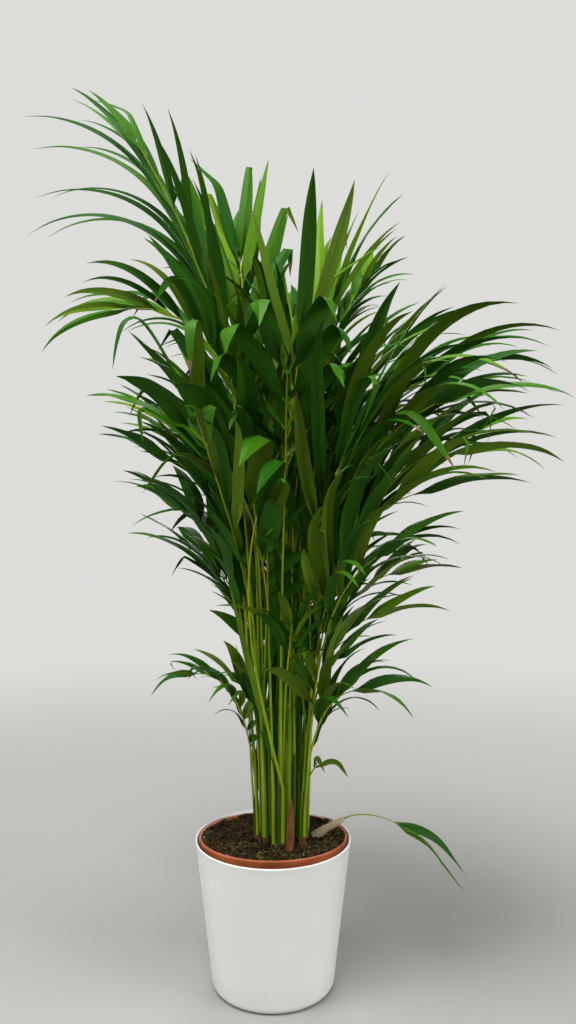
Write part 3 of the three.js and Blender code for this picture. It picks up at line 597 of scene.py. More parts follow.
def set_line(frond, line):
    frond.line = line
    apart = max(LEAFLET_PITCH, LONG_LEAFLET_PITCH * frond.leaf)
    frond.pitch = min(apart, line.length * BLADE_SHARE / frond.pairs)
    half = LEAFLET_ROOT / 2 / line.length
    petiole_end = pair_share(frond, 0) - half
    shares = [petiole_end * i / PETIOLE_STEPS for i in range(PETIOLE_STEPS)]
    for pair in range(frond.pairs):
        shares += [pair_share(frond, pair) - half, pair_share(frond, pair) + half]
    frond.balls = balls_along(line.point(shares + [1]), PETIOLE_RADIUS, MIDRIB_TIP_RADIUS)


def clear_of(row, others):
    """Whether balls in a row keep clear of others. Rows that are well away aren't measured."""
    low, high = row[:, 2].min() - SAME_HEIGHT, row[:, 2].max() + SAME_HEIGHT
    for balls in others:
        near = balls[(balls[:, 2] > low) & (balls[:, 2] < high)]
        gap = np.abs(near[None, ::3, :3] - row[:, None, :3]).max(axis=2)
        if gap.size == 0 or gap.min() > FAR_OFF:
            continue
        apart = ((near[None, :, :3] - row[:, None, :3]) ** 2).sum(axis=2)
        if (apart <= (near[None, :, 3] + row[:, None, 3] + LINE_CLEARANCE) ** 2).any():
            return False
    return True


taken = [
    (cane, balls_along(np.array([cane.foot, cane.top]), CANE_FOOT_RADIUS, CANE_TOP_RADIUS))
    for cane in canes
]


def bend_clear(frond):
    """Gives a frond its line: the first bow that keeps it clear of what stands already."""
    span = np.linalg.norm(frond.tip - frond.foot)
    start = unit(frond.cane.axis + frond.away * START_LEAN)
    end = frond.away * math.cos(frond.arch) + UP * math.sin(frond.arch)
    others = [balls for owner, balls in taken if owner is not frond.cane]
    for bow in BOWS:
        aside = np.cross(UP, frond.away) * bow * span
        set_line(frond, Line(
            frond.foot,
            frond.foot + start * span * START_PULL + aside,
            frond.tip - end * span * END_PULL + aside,
            frond.tip,
        ))
        if clear_of(frond.balls, others):
            break
    taken.append((None, frond.balls))


for frond in fronds:
    bend_clear(frond)


class Limb:
    """A straight limb from z = 0 to 1, cut across at stations: corners, rows, share of each row."""

    def __init__(self, sides, stations, pointed=False):
        bm = bmesh.new()
        bmesh.ops.create_cone(
            bm, cap_ends=True, segments=sides, radius1=1, radius2=0 if pointed else 1, depth=1,
            matrix=Matrix.Translation((0, 0, 0.5)),
        )
        for station in stations:
            cut_across(bm, (0, 0, station), (0, 0, 1))
        self.corners, self.rows = template(bm)
        spread = np.hypot(self.corners[:, 0], self.corners[:, 1])
        spread[spread < 1e-6] = 1
        self.corners[:, :2] /= spread[:, None]
        if pointed:
            self.corners[self.corners[:, 2] > 1 - 1e-6, :2] = 0
        self.share = np.array([self.corners[row, 2].mean() for row in self.rows])


class Skein:
    """Many limbs of one kind, gathered into one mesh: points, faces, finishes and UVs."""

    def __init__(self):
        self.points, self.faces, self.finish_of, self.uvs, self.count = [], [], [], [], 0

    def add(self, points, form, finish_of, uvs=None, mirrored=False):
        """Adds a limb laid out from its form. Its share of length serves where UVs aren't given."""
        turn = -1 if mirrored else 1
        self.faces += [[i + self.count for i in row[::turn]] for row in form.rows]
        self.points.append(points)
        self.uvs.append(np.repeat(form.corners[:, 2:3], 2, axis=1) if uvs is None else uvs)
        self.finish_of += list(finish_of)
        self.count += len(points)

    def piece(self, name, finishes, slot, nodes, crease):
        mesh = mesh_of_many(name, self.points, self.faces, crease, self.finish_of, self.uvs)
        set_in_place(mesh, name, finishes, slot, *nodes)


def sheath_path(frond):
    """The line of a sheath: up its own side of the cane, and on a little way round the petiole."""
    ring = frond.foot - frond.cane.top
    foot = frond.cane.foot + ring * 1.05 * np.array((1, 1, 0)) - UP * 3
    up = foot + (frond.foot - foot) * np.linspace(0, 1, 9)[:-1, None]
    on = min(0.16, (26 + 12 * jitter(frond.index, 21)) / frond.line.length)
    return np.vstack([up, frond.line.point(np.linspace(0, on, 5))])


def swept(path, corners, radius, shift=None):
    """Corners of a limb laid along a path of points, thickened by a function of share and turn."""
    hops = np.linalg.norm(np.diff(path, axis=0), axis=1)
    run = np.concatenate([[0], np.cumsum(hops)])
    side, rise, share = corners.T
    if shift is not None:
        share = np.clip(share + shift(corners), 0, 1)

    def place(ahead=0):
        return np.stack([np.interp(share * run[-1] + ahead, run, line) for line in path.T], axis=1)

    along = unit(place(4) - place(-4))
    across = unit(np.cross(np.array((0.0, 1.0, 0.0)), along))
    over = np.cross(along, across)
    reach = radius(share, np.arctan2(rise, side))
    cap = np.hypot(side, rise)
    return place() + across * (side * reach * cap)[:, None] + over * (rise * reach * cap)[:, None]


STREAK = (1, 1, 0.06)


def waxy(name, roughness, low, high):
    """The finish of a living stem: a waxy skin with fine lengthwise streaks of two colours."""
    return mottled(
        name, roughness, (90, 3, STREAK), [(0.32, low), (0.68, high)],
        ((900, 2, STREAK), 0.12, 0.5), IOR=1.42, Specular_IOR_Level=0.3,
    )


sheath_finishes = [
    waxy("sheath_green", 0.42, (0.054, 0.128, 0.002), (0.140, 0.232, 0.005)),
    waxy("sheath_yellow", 0.40, (0.120, 0.195, 0.003), (0.270, 0.345, 0.009)),
    # a darker green, partly the stems' own tone and partly painted shade for the dark gaps between
    # them
    waxy("sheath_dark", 0.50, (0.016, 0.055, 0.002), (0.045, 0.105, 0.004)),
    waxy("sheath_brown", 0.75, (0.035, 0.016, 0.008), (0.120, 0.052, 0.022)),
]
SHEATH_GREEN, SHEATH_YELLOW, SHEATH_DARK_AND_SHADE, SHEATH_BROWN = range(4)
SHEATH_RADIUS = 2.75
MOUTH = 0.985
sheath_form = Limb(14, [
    0.01, 0.03, 0.07, 0.13, 0.21, 0.3, 0.4, 0.5, 0.6, 0.7, 0.78, 0.86, 0.92, 0.955, 0.975,
])


def add_sheath(skein, frond):
    """Adds a sheath that flares at the soil, has one proud margin and ends in an oblique mouth."""
    stout = SHEATH_RADIUS * (1 + 0.16 * jitter(frond.index, 22))
    lean = frond.index * 2.4
    margin = 0.5 * frond.index

    def radius(share, turn):
        flare = 1 + 0.34 * np.exp(-share / 0.05)
        slim = 1 - 0.22 * share
        ribs = 1 + 0.022 * np.cos(7 * turn)
        proud = 1 + 0.10 * np.exp(-((np.angle(np.exp(1j * (turn - margin)))) / 0.3) ** 2)
        return stout * flare * slim * ribs * proud * np.where(share > MOUTH, 0.72, 1)

    def oblique(corners):
        turn = np.arctan2(corners[:, 1], corners[:, 0])
        return -0.055 * smooth(corners[:, 2], 0.8, 1) * (1 + np.cos(turn - lean))

    stain = 0.025 + 0.05 * chance(frond.index, 23)
    pick = chance(frond.index, 24)
    # about a fifth of the sheaths take the dark green, partly painted shade between the stems
    body = SHEATH_DARK_AND_SHADE if pick < 0.22 else SHEATH_YELLOW if pick > 0.55 else SHEATH_GREEN
    finish_of = np.where(sheath_form.share < stain, SHEATH_BROWN, body)
    points = swept(sheath_path(frond), sheath_form.corners, radius, oblique)
    skein.add(points, sheath_form, finish_of)


cane_nodes = [f"cane_{k + 1:02d}" for k in range(CANE_COUNT)]
sheaths = Skein()
for frond in fronds:
    add_sheath(sheaths, frond)
sheaths.piece("stem_sheaths", sheath_finishes, "stems", cane_nodes, 50)

# MIDRIBS
# Each leaf's stalk and midrib are one long tapering rib, channelled on top and yellow-green. It
# rises nearly straight out of its sheath and arches over where the leaflets stand on it.
dry_line = Line(*[
    (x, y, soil_height(x, y) + SEAT + above)
    for x, y, above in [(57, 2, 0), (74, 0, 12), (99, -4, 27)]
])
stray = Frond(len(fronds), "stray", 178, -10, 225, 0, 1, 138, 15, 84, 26, 1, 0.86)
stray.axis = dry_line.along(1.0)
stray.foot = dry_line.point(1.0) + stray.axis * SEAT
stray.away = np.array((1.0, 0, 0))
set_line(stray, Line(stray.foot, stray.foot + stray.axis * 26, (150, -9, 238), stray.tip))
leaves = fronds + [stray]


def rib_frame(frond, share):
    """Places and axes on a midrib: at, along, over (its upper side) and across."""
    share = np.asarray(share, float)
    at, along = frond.line.point(share), frond.line.along(share)
    over = UP * (along @ frond.away)[..., None] - frond.away * along[..., 2:3]
    over = unit(over - along * (over * along).sum(axis=-1, keepdims=True))
    return at, along, over, np.cross(over, along)


midrib_finishes = [
    waxy("midrib_green", 0.40, (0.150, 0.250, 0.004), (0.270, 0.380, 0.010)),
    waxy("midrib_yellow", 0.38, (0.240, 0.290, 0.008), (0.380, 0.400, 0.020)),
]
MIDRIB_GREEN, MIDRIB_YELLOW = range(2)
midrib_form = Limb(8, [i / 36 for i in range(1, 36)])


def add_midrib(skein, frond):
    """Adds a stalk and midrib, channelled on top and yellower where the leaflets stand on it."""
    side, rise, share = midrib_form.corners.T
    at, _, over, across = rib_frame(frond, share)
    reach = mix(2.1, 1.0, share) * (0.7 if frond is stray else 1)
    reach *= np.where(share > 0.999, 0.2, 1)
    reach *= np.hypot(side, rise)
    high = rise * 0.92
    high = np.where(high > 0.6, 0.42, high)
    points = at + across * (side * reach)[:, None] + over * (high * reach)[:, None]
    yellow_from = pair_share(frond, 0) - 0.1 * chance(frond.index, 26)
    finish_of = np.where(midrib_form.share > yellow_from, MIDRIB_YELLOW, MIDRIB_GREEN)
    skein.add(points, midrib_form, finish_of)


midribs = Skein()
for frond in leaves:
    add_midrib(midribs, frond)
frond_nodes = [f"frond_{frond.name}" for frond in leaves]
midribs.piece("midribs", midrib_finishes, "fronds", frond_nodes, 60)

# LEAFLETS
# The green blades are glossy strap-like leaflets, folded like a roof along their keel and paler
# underneath, where the yellow-green of light shining through them is painted into the colour. They
# stand in two rows on each midrib, bend over and end in fine drooping tips.
LEFT = -1
RIGHT = 1
LEAFLET_STEPS = 12
LEAFLET_THICKNESS_SHARE = 0.0125
LEAFLET_THINNING = 0.25
LEAFLET_FOLD = 0.18
LONG_LEAFLET = 240
ROOT_SHARE = 0.2
SHINGLE = math.radians(24)
KINK = math.radians(120)
KINKED_SHARE = 0.07
BROAD_LEAFLET = 30
BROAD_KINKS = 0.12
KINK_PLACE = (0.6, 0.73)
SHARP_KINKS = 0.3
BEND_POWER = 1.7
OUTWARD_PULL = 0.55
FLATTER = 0.35
BETWEEN_LENGTH = 0.88
LIGHT = np.array((0.25, -1.0, 0.2))
LIT_FRONDS = ("upper_left", "left_arch", "top_right", "top_left", "top_middle", "right_sprig")
CALM_LENGTH = 150
CELL = 3
GRID = np.array((320, 320, 440))
GRID_LOW = np.array((-160, -160, -5))
POT_CLEARANCE = (8, 14)
NO_FROND = -1
PLACES = np.linspace(0, 1, LEAFLET_STEPS + 1)
# the ways that a leaflet may lie: its length left, and degrees to lift it and droop it by
LENGTHS = (1, 0.92, 0.8, 0.66, 0.5)
WAYS = np.array([
    (length, lift, droop)
    for length in LENGTHS
    for lift in (0, 9, -9, 18, -18, 28)
    for droop in (0, -14, 16)
])


class Space:
    """The cells that pieces take up. Each knows the frond that it went to."""

    def __init__(self):
        self.owner = np.zeros(GRID.prod(), dtype=np.int8)

    def cells(self, points):
        cell = np.clip((points / CELL - GRID_LOW).astype(np.int32), 1, GRID - 2)
        return (cell[..., 0] * GRID[1] + cell[..., 1]) * GRID[2] + cell[..., 2]

    def claim(self, points, owner, margin=1):
        span = range(-margin, margin + 1)
        around = [(x * GRID[1] + y) * GRID[2] + z for x in span for y in span for z in span]
        middle = np.unique(self.cells(points))
        cells = np.unique((middle[:, None] + np.array(around)).ravel())
        self.owner[cells[self.owner[cells] == 0]] = owner + 2

    def clashes(self, points, rooted, owner):
        found = self.owner[self.cells(points)]
        return (found != 0) & ~((found == owner + 2) & rooted)


def in_pot(points):
    near = np.hypot(points[..., 0], points[..., 1]) < POT_RIM_RADIUS + POT_CLEARANCE[0]
    return near & (points[..., 2] < POT_HEIGHT + POT_CLEARANCE[1])


def rotated(v, axis, angle):
    """Vectors turned about unit axes."""
    angle = angle[..., None]
    straight = axis * (axis * v).sum(axis=-1, keepdims=True) * (1 - np.cos(angle))
    return v * np.cos(angle) + np.cross(axis, v) * np.sin(angle) + straight


def length_profile(frond, share):
    if share < 0.4:
        return mix(0.72, 1, share / 0.4)
    return mix(1, frond.crest, ((share - 0.4) / 0.6) ** 1.6)


def width_profile(s):
    return np.minimum(1, 0.34 + 2.4 * s) * (1 - s**2.2) ** 0.9


class Leaflet:
    """Every way that one leaflet may lie, and then the one that was picked. It leaves the midrib
    forwards, bends down and out under its own weight, and turns its blade flat to that bend."""

    def __init__(self, frond, pair, side, slim):
        self.frond, self.side = frond, side
        self.share = share = pair / (frond.pairs - 1) if frond.pairs > 1 else 1
        place = pair_share(frond, pair)
        at, along, over, across = rib_frame(frond, place)
        self.seed = seed = frond.index * 40 + pair * 2 + (side == RIGHT)
        side_share = frond.right if side == RIGHT else 1
        left, lift, droop = WAYS.T
        calm = min(1, CALM_LENGTH / frond.leaf)
        open_ = frond.open * side_share * mix(1.15, 0.45, share)
        open_ = (open_ + np.radians(4 * calm * jitter(seed, 1) + (lift - droop) / 4))[:, None]
        lift = np.radians(mix(30, 14, share) + 8 * calm * jitter(seed, 2) + lift)[:, None]
        profile = length_profile(frond, share) * side_share
        self.length = frond.leaf * profile * (1 + 0.07 * jitter(seed, 3)) * left
        if pair % 1:
            self.length *= BETWEEN_LENGTH
        heading = across * side * np.cos(lift) + over * np.sin(lift)
        heading = unit(heading * np.sin(open_) + along * np.cos(open_))
        pull = unit(frond.away * OUTWARD_PULL - UP)
        bend_axis = unit(np.cross(heading, pull))
        most = np.maximum(0, np.arccos(np.clip(heading @ pull, -1, 1)) - 0.15)
        droop = (frond.droop * profile + np.radians(droop)) * (1 + 0.25 * calm * jitter(seed, 4))
        kinked = KINKED_SHARE + BROAD_KINKS * max(0, frond.width - BROAD_LEAFLET)
        snapped = chance(seed, 5) < kinked
        # only some tips hang from a sharp fold; the others just bow
        self.kinked = snapped and (frond.name == "front_fan" or chance(seed, 39) < SHARP_KINKS)
        kink = KINK if self.kinked else 0.3 * KINK * snapped
        bend = droop[:, None] * PLACES**BEND_POWER + kink * smooth(PLACES, *KINK_PLACE)
        bend = np.minimum(most[:, None], bend)
        self.along = rotated(heading[:, None], bend_axis[:, None], bend)
        hops = self.along * (self.length / LEAFLET_STEPS)[:, None, None]
        hops[:, 0] = at + across * side * mix(PETIOLE_RADIUS, MIDRIB_TIP_RADIUS, place) * 0.7
        self.at = np.cumsum(hops, axis=1)
        start = unit(along - heading * (heading @ along)[:, None])
        start = rotated(start, heading, np.full(len(WAYS), side * SHINGLE))
        facing = np.where((bend_axis * start).sum(axis=1) < 0, -1, 1)
        flat = bend_axis * facing[:, None]
        flatter = 0.85 * smooth(PLACES, 0.05, 0.7)[:, None]
        across = mix(start[:, None], flat[:, None], flatter)
        across -= self.along * (self.along * across).sum(axis=-1, keepdims=True)
        self.across = unit(across)
        self.over = np.cross(self.along, self.across) * -side
        spread = mix(start[:, None], flat[:, None], FLATTER * smooth(PLACES, 0.1, 0.9)[:, None])
        if frond.name in LIT_FRONDS:
            lit = np.cross(LIGHT, self.along)
            lit *= np.where((lit * spread).sum(axis=(1, 2), keepdims=True) < 0, -1, 1)
            spread = unit(spread) + lit * 3 * smooth(PLACES, 0, 0.25)[:, None]
        spread = spread - self.along * (self.along * spread).sum(axis=-1, keepdims=True)
        self.spread = unit(spread)
        self.half = frond.width / 2 * slim * width_profile(PLACES)

    def keel_points(self):
        share = np.linspace(0, 1, 41)
        i = np.minimum((share * LEAFLET_STEPS).astype(int), LEAFLET_STEPS - 1)
        part = (share * LEAFLET_STEPS - i)[:, None]
        return mix(self.at[:, i], self.at[:, i + 1], part), share < ROOT_SHARE

    def samples(self, way):
        """Points all over the roof of the leaflet's solid, and which of them are near its root."""
        length, at, over, across = (
            values[way] for values in (self.length, self.at, self.over, self.across)
        )
        thick = length * LEAFLET_THICKNESS_SHARE * (1 - LEAFLET_THINNING * PLACES)
        ridge = at + over * (thick / 2)[:, None]
        low = at - over * (LEAFLET_FOLD * self.half)[:, None]
        edges = [low - across * self.half[:, None], low + across * self.half[:, None]]
        stations = (0, 3, 8, 12) if self.frond.leaf < LONG_LEAFLET else (0, 3, 6, 9, 12)
        points, rooted = [], []
        for a, b in zip(stations, stations[1:]):
            rows = math.ceil((b - a) / LEAFLET_STEPS * length / SAMPLE_STEP)
            columns = math.ceil(max(self.half[a], self.half[b]) / SAMPLE_STEP)
            share = np.arange(rows + 1)[:, None] / rows
            middle = mix(ridge[a], ridge[b], share)
            toward = (np.arange(columns + 1) / columns)[:, None, None]
            for edge in edges:
                points.append(mix(middle, mix(edge[a], edge[b], share), toward).reshape(-1, 3))
                near_root = mix(a, b, share[:, 0]) / LEAFLET_STEPS < ROOT_SHARE
                rooted.append(np.tile(near_root, columns + 1))
        return np.vstack(points), np.concatenate(rooted)

    def pick(self, way):
        """Keeps one of the ways and lets the others go."""
        self.left = WAYS[way, 0]
        for name in ("length", "at", "along", "across", "over", "spread"):
            setattr(self, name, getattr(self, name)[way])


midrib_space, leaflet_space, close_space = Space(), Space(), Space()
for _, balls in taken[:CANE_COUNT]:
    midrib_space.claim(balls[:, :3], NO_FROND)
for frond in leaves:
    midrib_space.claim(frond.balls[:, :3], frond.index)


def hits(points, rooted, owner, space):
    """Which points are in the pot, in a stalk or in a leaflet of this space."""
    found = in_pot(points)
    for cells in (midrib_space, space):
        found |= cells.clashes(points, rooted, owner)
    return found


def place_leaflet(frond, pair, side, slim, space, lengths):
    """Keeps the first way of lying that clears the pot and all placed before it."""
    leaflet = Leaflet(frond, pair, side, slim)
    clear = ~hits(*leaflet.keel_points(), frond.index, space).any(axis=1)
    for way in np.flatnonzero(clear[:lengths * len(WAYS) // len(LENGTHS)]):
        points, rooted = leaflet.samples(way)
        if not hits(points, rooted, frond.index, space).any():
            leaflet_space.claim(points, frond.index)
            close_space.claim(points, frond.index, 0)
            leaflet.pick(way)
            frond.leaflets[pair, side] = leaflet
            return


def fill(bearers, slim, space=leaflet_space, lengths=len(LENGTHS), between=0):
    """Places the leaflets that are still missing, from the tips of the fronds down."""
    for rank in range(max(frond.pairs for frond in bearers)):
        for frond in bearers:
            pair = frond.pairs - 1 - rank - between
            for side in (LEFT, RIGHT):
                if pair >= 0 and (pair, side) not in frond.leaflets:
                    place_leaflet(frond, pair, side, slim, space, lengths)


fill(leaves, 1)
fill(leaves, 0.66)
# thinner than their solids, more leaflets fit in: the ones left out, and then those between
OPEN_FRONDS = ("top_right", "top_middle", "front_fan", "stray")
fill(leaves, 0.9, close_space, 3)
fill([frond for frond in leaves if frond.name not in OPEN_FRONDS], 0.75, close_space, 2, 0.5)


def keyed(values, s):
    """Rows given at the thirteen places, read in between along a smooth curve."""
    at = np.clip(s, 0, 1) * LEAFLET_STEPS
    i = np.clip(np.floor(at).astype(int), 0, LEAFLET_STEPS - 1)
    t = (at - i)[:, None]
    a, b = values[i], values[i + 1]
    before = np.where((i > 0)[:, None], values[np.maximum(i - 1, 0)], 2 * a - b)
    after = values[np.minimum(i + 2, LEAFLET_STEPS)]
    after = np.where((i + 2 <= LEAFLET_STEPS)[:, None], after, 2 * b - a)
    cubic = 2 * before - 5 * a + 4 * b - after + t * (3 * (a - b) + after - before)
    return a + 0.5 * t * (b - before + t * cubic)


class Blade(Limb):
    """A leaflet's form: near edge, keel, far edge and underside run from the root to the tip."""

    def __init__(self, stations):
        super().__init__(4, stations, pointed=True)
        for row in self.rows:
            # each quad starts at the blade's edge, so that roof and underside fold along one line
            low = min(row, key=lambda i: (abs(self.corners[i, 0]) < 0.5, self.corners[i, 2]))
            while len(row) == 4 and row[0] != low:
                row.append(row.pop(0))
        self.upper = np.array([self.corners[row, 1].mean() > 0 for row in self.rows])
        self.places, self.place_of = np.unique(self.corners[:, 2].round(5), return_inverse=True)


STATIONS = [0.03, 0.08, 0.15, 0.24, 0.34, 0.44, 0.54, 0.63, 0.71, 0.79, 0.87, 0.94]
common_blade = Blade(STATIONS)
long_blade = Blade(sorted(STATIONS + [(a + b) / 2 for a, b in zip(STATIONS, STATIONS[1:])]))
FINELY_CUT = 300
# how many of a frond's leaflets fold over, and where along their length
FOLDED = {
    "top_left": (0.45, 0.83), "top_middle": (0.5, 0.85), "upper_right": (0.25, 0.8),
    "front_left": (0.5, 0.55), "front_right": (0.2, 0.7), "left_fan": (0.25, 0.7),
    "left_high": (0.15, 0.77), "right_high": (0.1, 0.77),
}
RARELY_FOLDED = (0.04, 0.77)
FOLDS_FROM = 0.6
# how much wider than their solids the leaflets are
WIDTHS = {
    "top_right": 0.74, "front_left": 0.85, "front_right": 0.85, "front_fan": 0.95,
    "top_middle": 1.4, "top_left": 1.1, "upper_left": 0.9, "left_arch": 1,
}
COMMON_WIDTH = 1.15
RIGHT_WIDTH = 0.88
# how steeply the two halves of a blade fall from the keel, from its root to its tip
ROOF_PLACES = [0, 0.1, 0.25, 0.45, 0.75, 1]
ROOF = np.radians([62, 52, 24, 14, 16, 26])


def blade_of(leaflet):
    folded = leaflet.kinked or leaflet.frond.name in FOLDED
    return long_blade if leaflet.frond.leaf > FINELY_CUT or folded else common_blade


def blade_points(leaflet):
    """The template laid along a leaflet, folded like a roof, twisted a little and rippled."""
    form, seed, frond = blade_of(leaflet), leaflet.seed, leaflet.frond
    s = form.places
    at, along = keyed(leaflet.at, s), unit(keyed(leaflet.along, s))
    across = keyed(leaflet.spread, s)
    often, crease = FOLDED.get(frond.name, RARELY_FOLDED)
    near_end = leaflet.share >= FOLDS_FROM or frond.part in ("top", "upper")
    if near_end and chance(seed, 36) < often and not leaflet.kinked:
        hinge = unit(np.cross(along[-1:], -UP))
        soft = mix(0.04, 0.3, (0.77 - crease) / 0.27)
        turn = math.radians(mix(85, 140, chance(seed, 37)))
        turn = turn * smooth(s, crease, crease + soft + 0.04)
        along = rotated(along, np.repeat(hinge, len(s), axis=0), turn)
        hops = (along[1:] + along[:-1]) / 2 * (np.diff(s) * leaflet.length)[:, None]
        at = at[0] + np.vstack([np.zeros(3), np.cumsum(hops, axis=0)])
    if leaflet.kinked:
        bent = keyed(leaflet.at, np.array([0.7]))
        hanging = mix(0.12, 0.5, leaflet.share) + 0.1 * chance(seed, 38)
        at = np.where((s > 0.7)[:, None], bent + (at - bent) * hanging, at)
    at += (along * 0.05 - UP * 0.012) * min(leaflet.length, 160) * smooth(s, 0.9, 1)[:, None]
    across = unit(across - along * (along * across).sum(axis=1, keepdims=True))
    twist = math.radians(16 * jitter(seed, 31)) * s + math.radians(5) * np.sin(9 * s + seed)
    across = across * np.cos(twist)[:, None] + np.cross(along, across) * np.sin(twist)[:, None]
    over = np.cross(along, across) * -leaflet.side
    wide = leaflet.half.max() * mix(0.45, 1, leaflet.left) * (1 + 0.12 * jitter(seed, 32))
    wide *= WIDTHS.get(frond.name, RIGHT_WIDTH if frond.part == "right" else COMMON_WIDTH)
    blunt = 3 if leaflet.kinked else mix(2.5, 5, clamp((frond.width - 16) / 14, 0, 1))
    half = wide * (0.16 + 0.84 * smooth(s, 0, 0.2)) * (1 - s**blunt) ** 0.85
    fold = np.interp(s, ROOF_PLACES, ROOF) * (1 + 0.5 * jitter(seed, 33))
    sway = 1.8 * jitter(seed, 35) * np.sin(math.pi * s) ** 2
    at, across, over, half, fold, sway = (
        rows[form.place_of] for rows in (at, across, over, half, fold, sway)
    )
    side, rise, s = form.corners.T
    ripple = 0.05 * np.sin(13 * s + 4 * chance(seed, 34) + 2 * side)
    drop = half * (np.sin(fold) + ripple * s) * np.abs(side)
    thick = mix(0.9, 0.35, s) * rise / 2
    aside = side * half * np.cos(fold) + sway
    return at + across * aside[:, None] + over * (thick - drop)[:, None]


VEIN_CONTRAST = 0.22


def glossy(name, roughness, colour):
    """The finish of a leaflet: one plain green under a waxy gloss, with fine parallel veins."""
    finish = new_finish(name, roughness, IOR=1.42, Specular_IOR_Level=0.15)
    veins = speckle(finish, 1, 4, (34, 0.8, 1), uv="blade")
    low, high = (
        [part * contrast for part in colour] for contrast in (1 - VEIN_CONTRAST, 1 + VEIN_CONTRAST)
    )
    tint(finish, veins, [(0.35, low), (0.65, high)])
    emboss(finish, veins, 0.22, 0.6)
    return finish


leaf_finishes = [
    glossy("leaf_deep_green", 0.50, (0.014, 0.082, 0.002)),
    glossy("leaf_green", 0.50, (0.036, 0.130, 0.003)),
    glossy("leaf_bright_green", 0.50, (0.085, 0.205, 0.005)),
    glossy("leaf_yellow_green", 0.50, (0.130, 0.250, 0.008)),
    glossy("underside_deep_green", 0.58, (0.023, 0.094, 0.003)),
    # the olive and fresh undersides are partly the leaf's own paler green, partly painted light
    # shining through
    glossy("underside_olive", 0.55, (0.075, 0.145, 0.005)),
    glossy("underside_fresh", 0.55, (0.120, 0.225, 0.010)),
    # a pale grey-green that is a painted sheen of front light, for hanging tips
    glossy("underside_pale", 0.55, (0.070, 0.165, 0.030)),
    glossy("leaf_root", 0.50, (0.110, 0.190, 0.006)),
    glossy("leaf_dry_tip", 0.70, (0.170, 0.110, 0.055)),
]
(
    DEEP, GREEN, BRIGHT, YELLOW, UNDER_DEEP, UNDER_OLIVE, UNDER_FRESH, UNDER_PAINTED_SHEEN, ROOT, DRY,
) = range(len(leaf_finishes))
# the share of leaflets that are fresh, and the most that it may be in the other fronds
FRESH_FRONDS = {
    "upper_right": 0.75, "top_middle": 0.5, "high_right": 0.4, "front_fan": 0, "left_fan": 0,
    "inner": 0.15,
}
FRESH_SHARES = {"right": 0.45, "left": 0.35}
FRESH_ELSEWHERE = 0.12


def blade_finishes(leaflet):
    """The finish of each of a blade's faces: its top, its underside, its root and its tip."""
    form, seed, frond = blade_of(leaflet), leaflet.seed, leaflet.frond
    most = FRESH_SHARES.get(frond.part, FRESH_ELSEWHERE)
    fresh = FRESH_FRONDS.get(frond.name, most * chance(frond.index, 41))
    if leaflet.kinked:
        fresh = 0
    pick = chance(seed, 42)
    if pick < fresh:
        top, under = YELLOW if chance(seed, 43) < 0.2 else BRIGHT, UNDER_FRESH
    else:
        top = DEEP if pick < fresh + (1 - fresh) * 0.5 else GREEN
        dark = frond.name in ("front_fan", "inner") or chance(seed, 47) < 0.3
        under = UNDER_DEEP if top == DEEP or dark else UNDER_OLIVE
    finish_of = np.where(form.upper, top, under)
    # on some of the front fan's hanging tips, the pale grey-green is a painted sheen of front light
    if frond.name == "front_fan" and pick < 0.25:
        finish_of[form.share > 0.72] = UNDER_PAINTED_SHEEN
    finish_of[form.share < 0.03] = ROOT
    if chance(seed, 44) < 0.2 and frond.width < 28:
        finish_of[form.share > 0.95] = DRY
    return finish_of


def foliage(name, fronds_in_it):
    """All the leaflets of some fronds, joined in one piece."""
    skein = Skein()
    for frond in fronds_in_it:
        for leaflet in frond.leaflets.values():
            form = blade_of(leaflet)
            across, _, ahead = form.corners.T
            uvs = np.stack([(across + 1) / 2, ahead * leaflet.length / 40], axis=1)
            uvs[:, 1] += 7.3 * chance(leaflet.seed, 45)
            finish_of, mirrored = blade_finishes(leaflet), leaflet.side == RIGHT
            skein.add(blade_points(leaflet), form, finish_of, uvs, mirrored)
    nodes = [f"frond_{frond.name}" for frond in fronds_in_it if frond in leaves]
    skein.piece(name, leaf_finishes, "fronds", nodes or frond_nodes, 30)


GROUPS = {
    "leaflets_top": ("top", "upper", "high"),
    "leaflets_left": ("left",),
    "leaflets_right": ("right",),
    "leaflets_front": ("front",),
    "leaflets_back": ("back",),
    "stray_leaflets": ("stray",),
}
for name, parts in GROUPS.items():
    foliage(name, [frond for frond in leaves if frond.part in parts])

# YOUNG LEAVES
# Between the canes stand slim younger leaves, each rising from the soil in a sheath of its own.
# Their leaflets fill the middle of the crown, and low on the stalks stand upright first leaflets.
YOUNG_COUNT = 36
YOUNG_TRIES = 150
YOUNG_APART = 7.4
YOUNG_INDEX = 60
INNER_INDEX = 99
young = []
for i in range(YOUNG_TRIES):
    radius = (CLUMP_RADIUS + 2) * math.sqrt((i + 0.5) / YOUNG_TRIES)
    cane = Cane(i, i * GOLDEN_ANGLE + 1.1, radius)
    stems = canes + [frond.cane for frond in young]
    apart = min(np.hypot(*(cane.foot - stem.foot)[:2]) for stem in stems)
    if apart < YOUNG_APART or len(young) == YOUNG_COUNT:
        continue
    away = unit(cane.foot[:2] - CLUMP_MIDDLE)
    outer = radius / CLUMP_RADIUS
    low = len(young) % 2
    reach = (mix(10, 60, outer) if low else mix(15, 95, outer)) * (1 + 0.3 * jitter(i, 61))
    height = (mix(640, 500, outer) if low else mix(900, 700, outer)) + 70 * jitter(i, 62)
    grown = (80, 4, 190, 17, 24, 17, 0.8, 1) if low else (74, 6, 165, 18, 45, 30, 0.75, 1)
    spot = CLUMP_MIDDLE + away * reach
    frond = Frond(YOUNG_INDEX + len(young), f"young_{i}", *spot, height, *grown)
    cane.length = mix(70, 170, chance(i, 63))
    cane.top = cane.foot + cane.axis * cane.length
    cane.fronds.append(frond)
    frond.cane = cane
    frond.stand(cane.top + cane.axis * SEAT)
    bend_clear(frond)
    young.append(frond)

